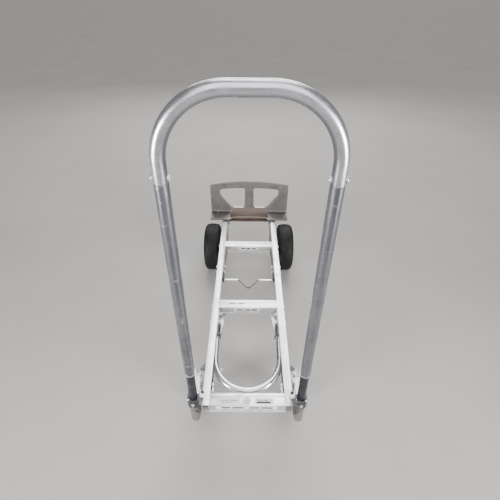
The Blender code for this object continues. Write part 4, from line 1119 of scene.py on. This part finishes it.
def build_loop_bolt(label, side):
    """A round head outside and a cap nut inside, through the loop and the swaged leg."""
    node = f"{label}_handle_bolt"
    spot, out = middle(node), X * side
    start = Vector((side * (LEG.x + LOOP_RADIUS), spot.y, spot.z))
    end = start - out * 2 * LOOP_RADIUS
    bm = bmesh.new()
    washer(bm, start - out * 0.0012, out, 0.0074, 0.0018)
    dome(bm, start + out * 0.0004, out, 0.0082, 0.005)
    turned(bm, start, -out, [(M6, 0), (M6, 2 * LOOP_RADIUS)], 20)
    hexagon(bm, end + out * 0.0012, -out, 0.0076, 0.0052)
    dome(bm, end - out * 0.0036, -out, 0.0058, 0.003)
    piece(bm, f"{label}_loop_bolt", "handle", "steel", node)


def build_collar(label, side):
    """The latch's rivet and flange, and the bolts of the pivot collar."""
    hinge_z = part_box(f"{label}_latch_spring")[1].z - 0.013
    hinge = Vector((side * (LEG.x - LEG_RADIUS - 0.0017), LEG.y, hinge_z))
    latch = f"{label}_latch"
    single(dome, (hinge, (-side, 0, 0), 0.0045, 0.0022), f"{latch}_rivet", latch, "steel")
    inner, outer, foot_z, knee_z = RAIL_OUTER + 0.0005, LEG.x - 0.0165, 0.0745, 0.168
    flange = fillet(mirror([(inner, foot_z), (outer, foot_z + 0.003), (outer, knee_z),
                            (inner - 0.0105, knee_z)], side), 0.0015, 3)
    y = LEG.y - RAIL_LOW.y - 0.0071
    single(slab, ([flange], y - 0.0012, y, "xz"), f"{latch}_flange", latch, "latch", bevel=0.0003)
    low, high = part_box(f"{label}_pivot_collar")
    face = Vector((side * LEG.x, low.y + 0.0004, high.z - 0.022))
    bm = bmesh.new()
    dome(bm, Vector((side * (LEG.x + 0.014), low.y + 0.006, high.z - 0.0004)), Z, 0.0036, 0.003)
    washer(bm, face, -Y, 0.0058, 0.001)
    hexagon(bm, face - Y * 0.0008, -Y, 0.005, 0.004)
    piece(bm, f"{label}_collar_bolts", "handle", "steel")


# ---- stage

CAMERA_PLACE = at(-0.0007, -0.6486, 1.1328)
CAMERA_PITCH, CAMERA_YAW, CAMERA_ROLL = 36.76, -0.29, 0.74
LENS, SENSOR = 25.83, 36.0


def build_camera():
    data = bpy.data.cameras.new("camera")
    data.lens, data.sensor_width = LENS, SENSOR
    camera = add_object("camera", data)
    look = Euler((radians(90 - CAMERA_PITCH), 0, radians(CAMERA_YAW)), "XYZ").to_matrix()
    roll = Matrix.Rotation(radians(CAMERA_ROLL), 3, "Z")
    camera.matrix_world = Matrix.Translation(CAMERA_PLACE) @ (look @ roll).to_4x4()
    bpy.context.scene.camera = camera


def area_light(name, place, target, width, height, power, spread=180):
    """A softbox at a place, facing a target, which the camera doesn't see."""
    data = bpy.data.lights.new(name, "AREA")
    data.shape, data.size, data.size_y = "RECTANGLE", width, height
    data.energy, data.spread = power, radians(spread)
    light = add_object(name, data)
    light.location = place
    light.rotation_euler = (Vector(target) - Vector(place)).to_track_quat("-Z", "Y").to_euler()
    light.visible_camera = False


def sun_light(name, direction, width, power, colour):
    """A broad even light from a direction, as from a large distant softbox."""
    data = bpy.data.lights.new(name, "SUN")
    data.energy, data.color, data.angle = power, colour, radians(width)
    light = add_object(name, data)
    light.rotation_euler = Vector(direction).to_track_quat("Z", "Y").to_euler()


def build_stage():
    """Plain floor, dim even surroundings, and soft light from above, both ends and both sides."""
    bm = bmesh.new()
    bmesh.ops.create_grid(bm, x_segments=1, y_segments=1, size=150)
    floor = link("floor", bm)
    f = Finish("floor_paint")
    tone = f.span(f.noise(1.5, 4), 0.3, 0.7)
    f.set("Base Color", f.blend(tone, (0.4, 0.385, 0.365), (0.43, 0.415, 0.395)))
    f.set("Roughness", 0.8)
    floor.data.materials.append(f.material)
    world = bpy.data.worlds.new("studio")
    bpy.context.scene.world = world
    world.use_nodes = True
    background = world.node_tree.nodes["Background"]
    background.inputs["Color"].default_value = (0.82, 0.82, 0.86, 1)
    background.inputs["Strength"].default_value = 0.12
    sun_light("key", (0.1, 0.6, 1.0), width=44, power=2.3, colour=(1.0, 0.985, 0.97))
    area_light("near", (0.1, -2.5, 3.1), (0, -0.5, 1.0), width=3.6, height=2.8, power=88)
    area_light("far", (0, 3.8, 2.5), (0, 0.2, 0.3), width=3.6, height=1.6, power=110)
    for name, side in SIDES:
        area_light(f"{name}_side", (side * 2.4, -2.2, 0.8), (0, -0.4, 0.7), width=1.0, height=1.3,
                   power=32, spread=75)


dress_nodes()
build_v_strap()
build_rail_bolts()
build_labels()
build_label_bars()
build_nose_plate()
build_axle()
build_axle_brackets()
for label, side in SIDES:
    centre = Vector((side * WHEEL_X, AXLE.y, AXLE.z))
    build_tyre(label, centre)
    build_rim(label, side, centre)
    build_hub(label, centre)
    build_caster(label, side)
    build_leg(label, side)
    build_loop_bolt(label, side)
    build_collar(label, side)
build_brace()
build_brace_fittings()
build_loop()
build_camera()
build_stage()

bpy.context.view_layer.update()
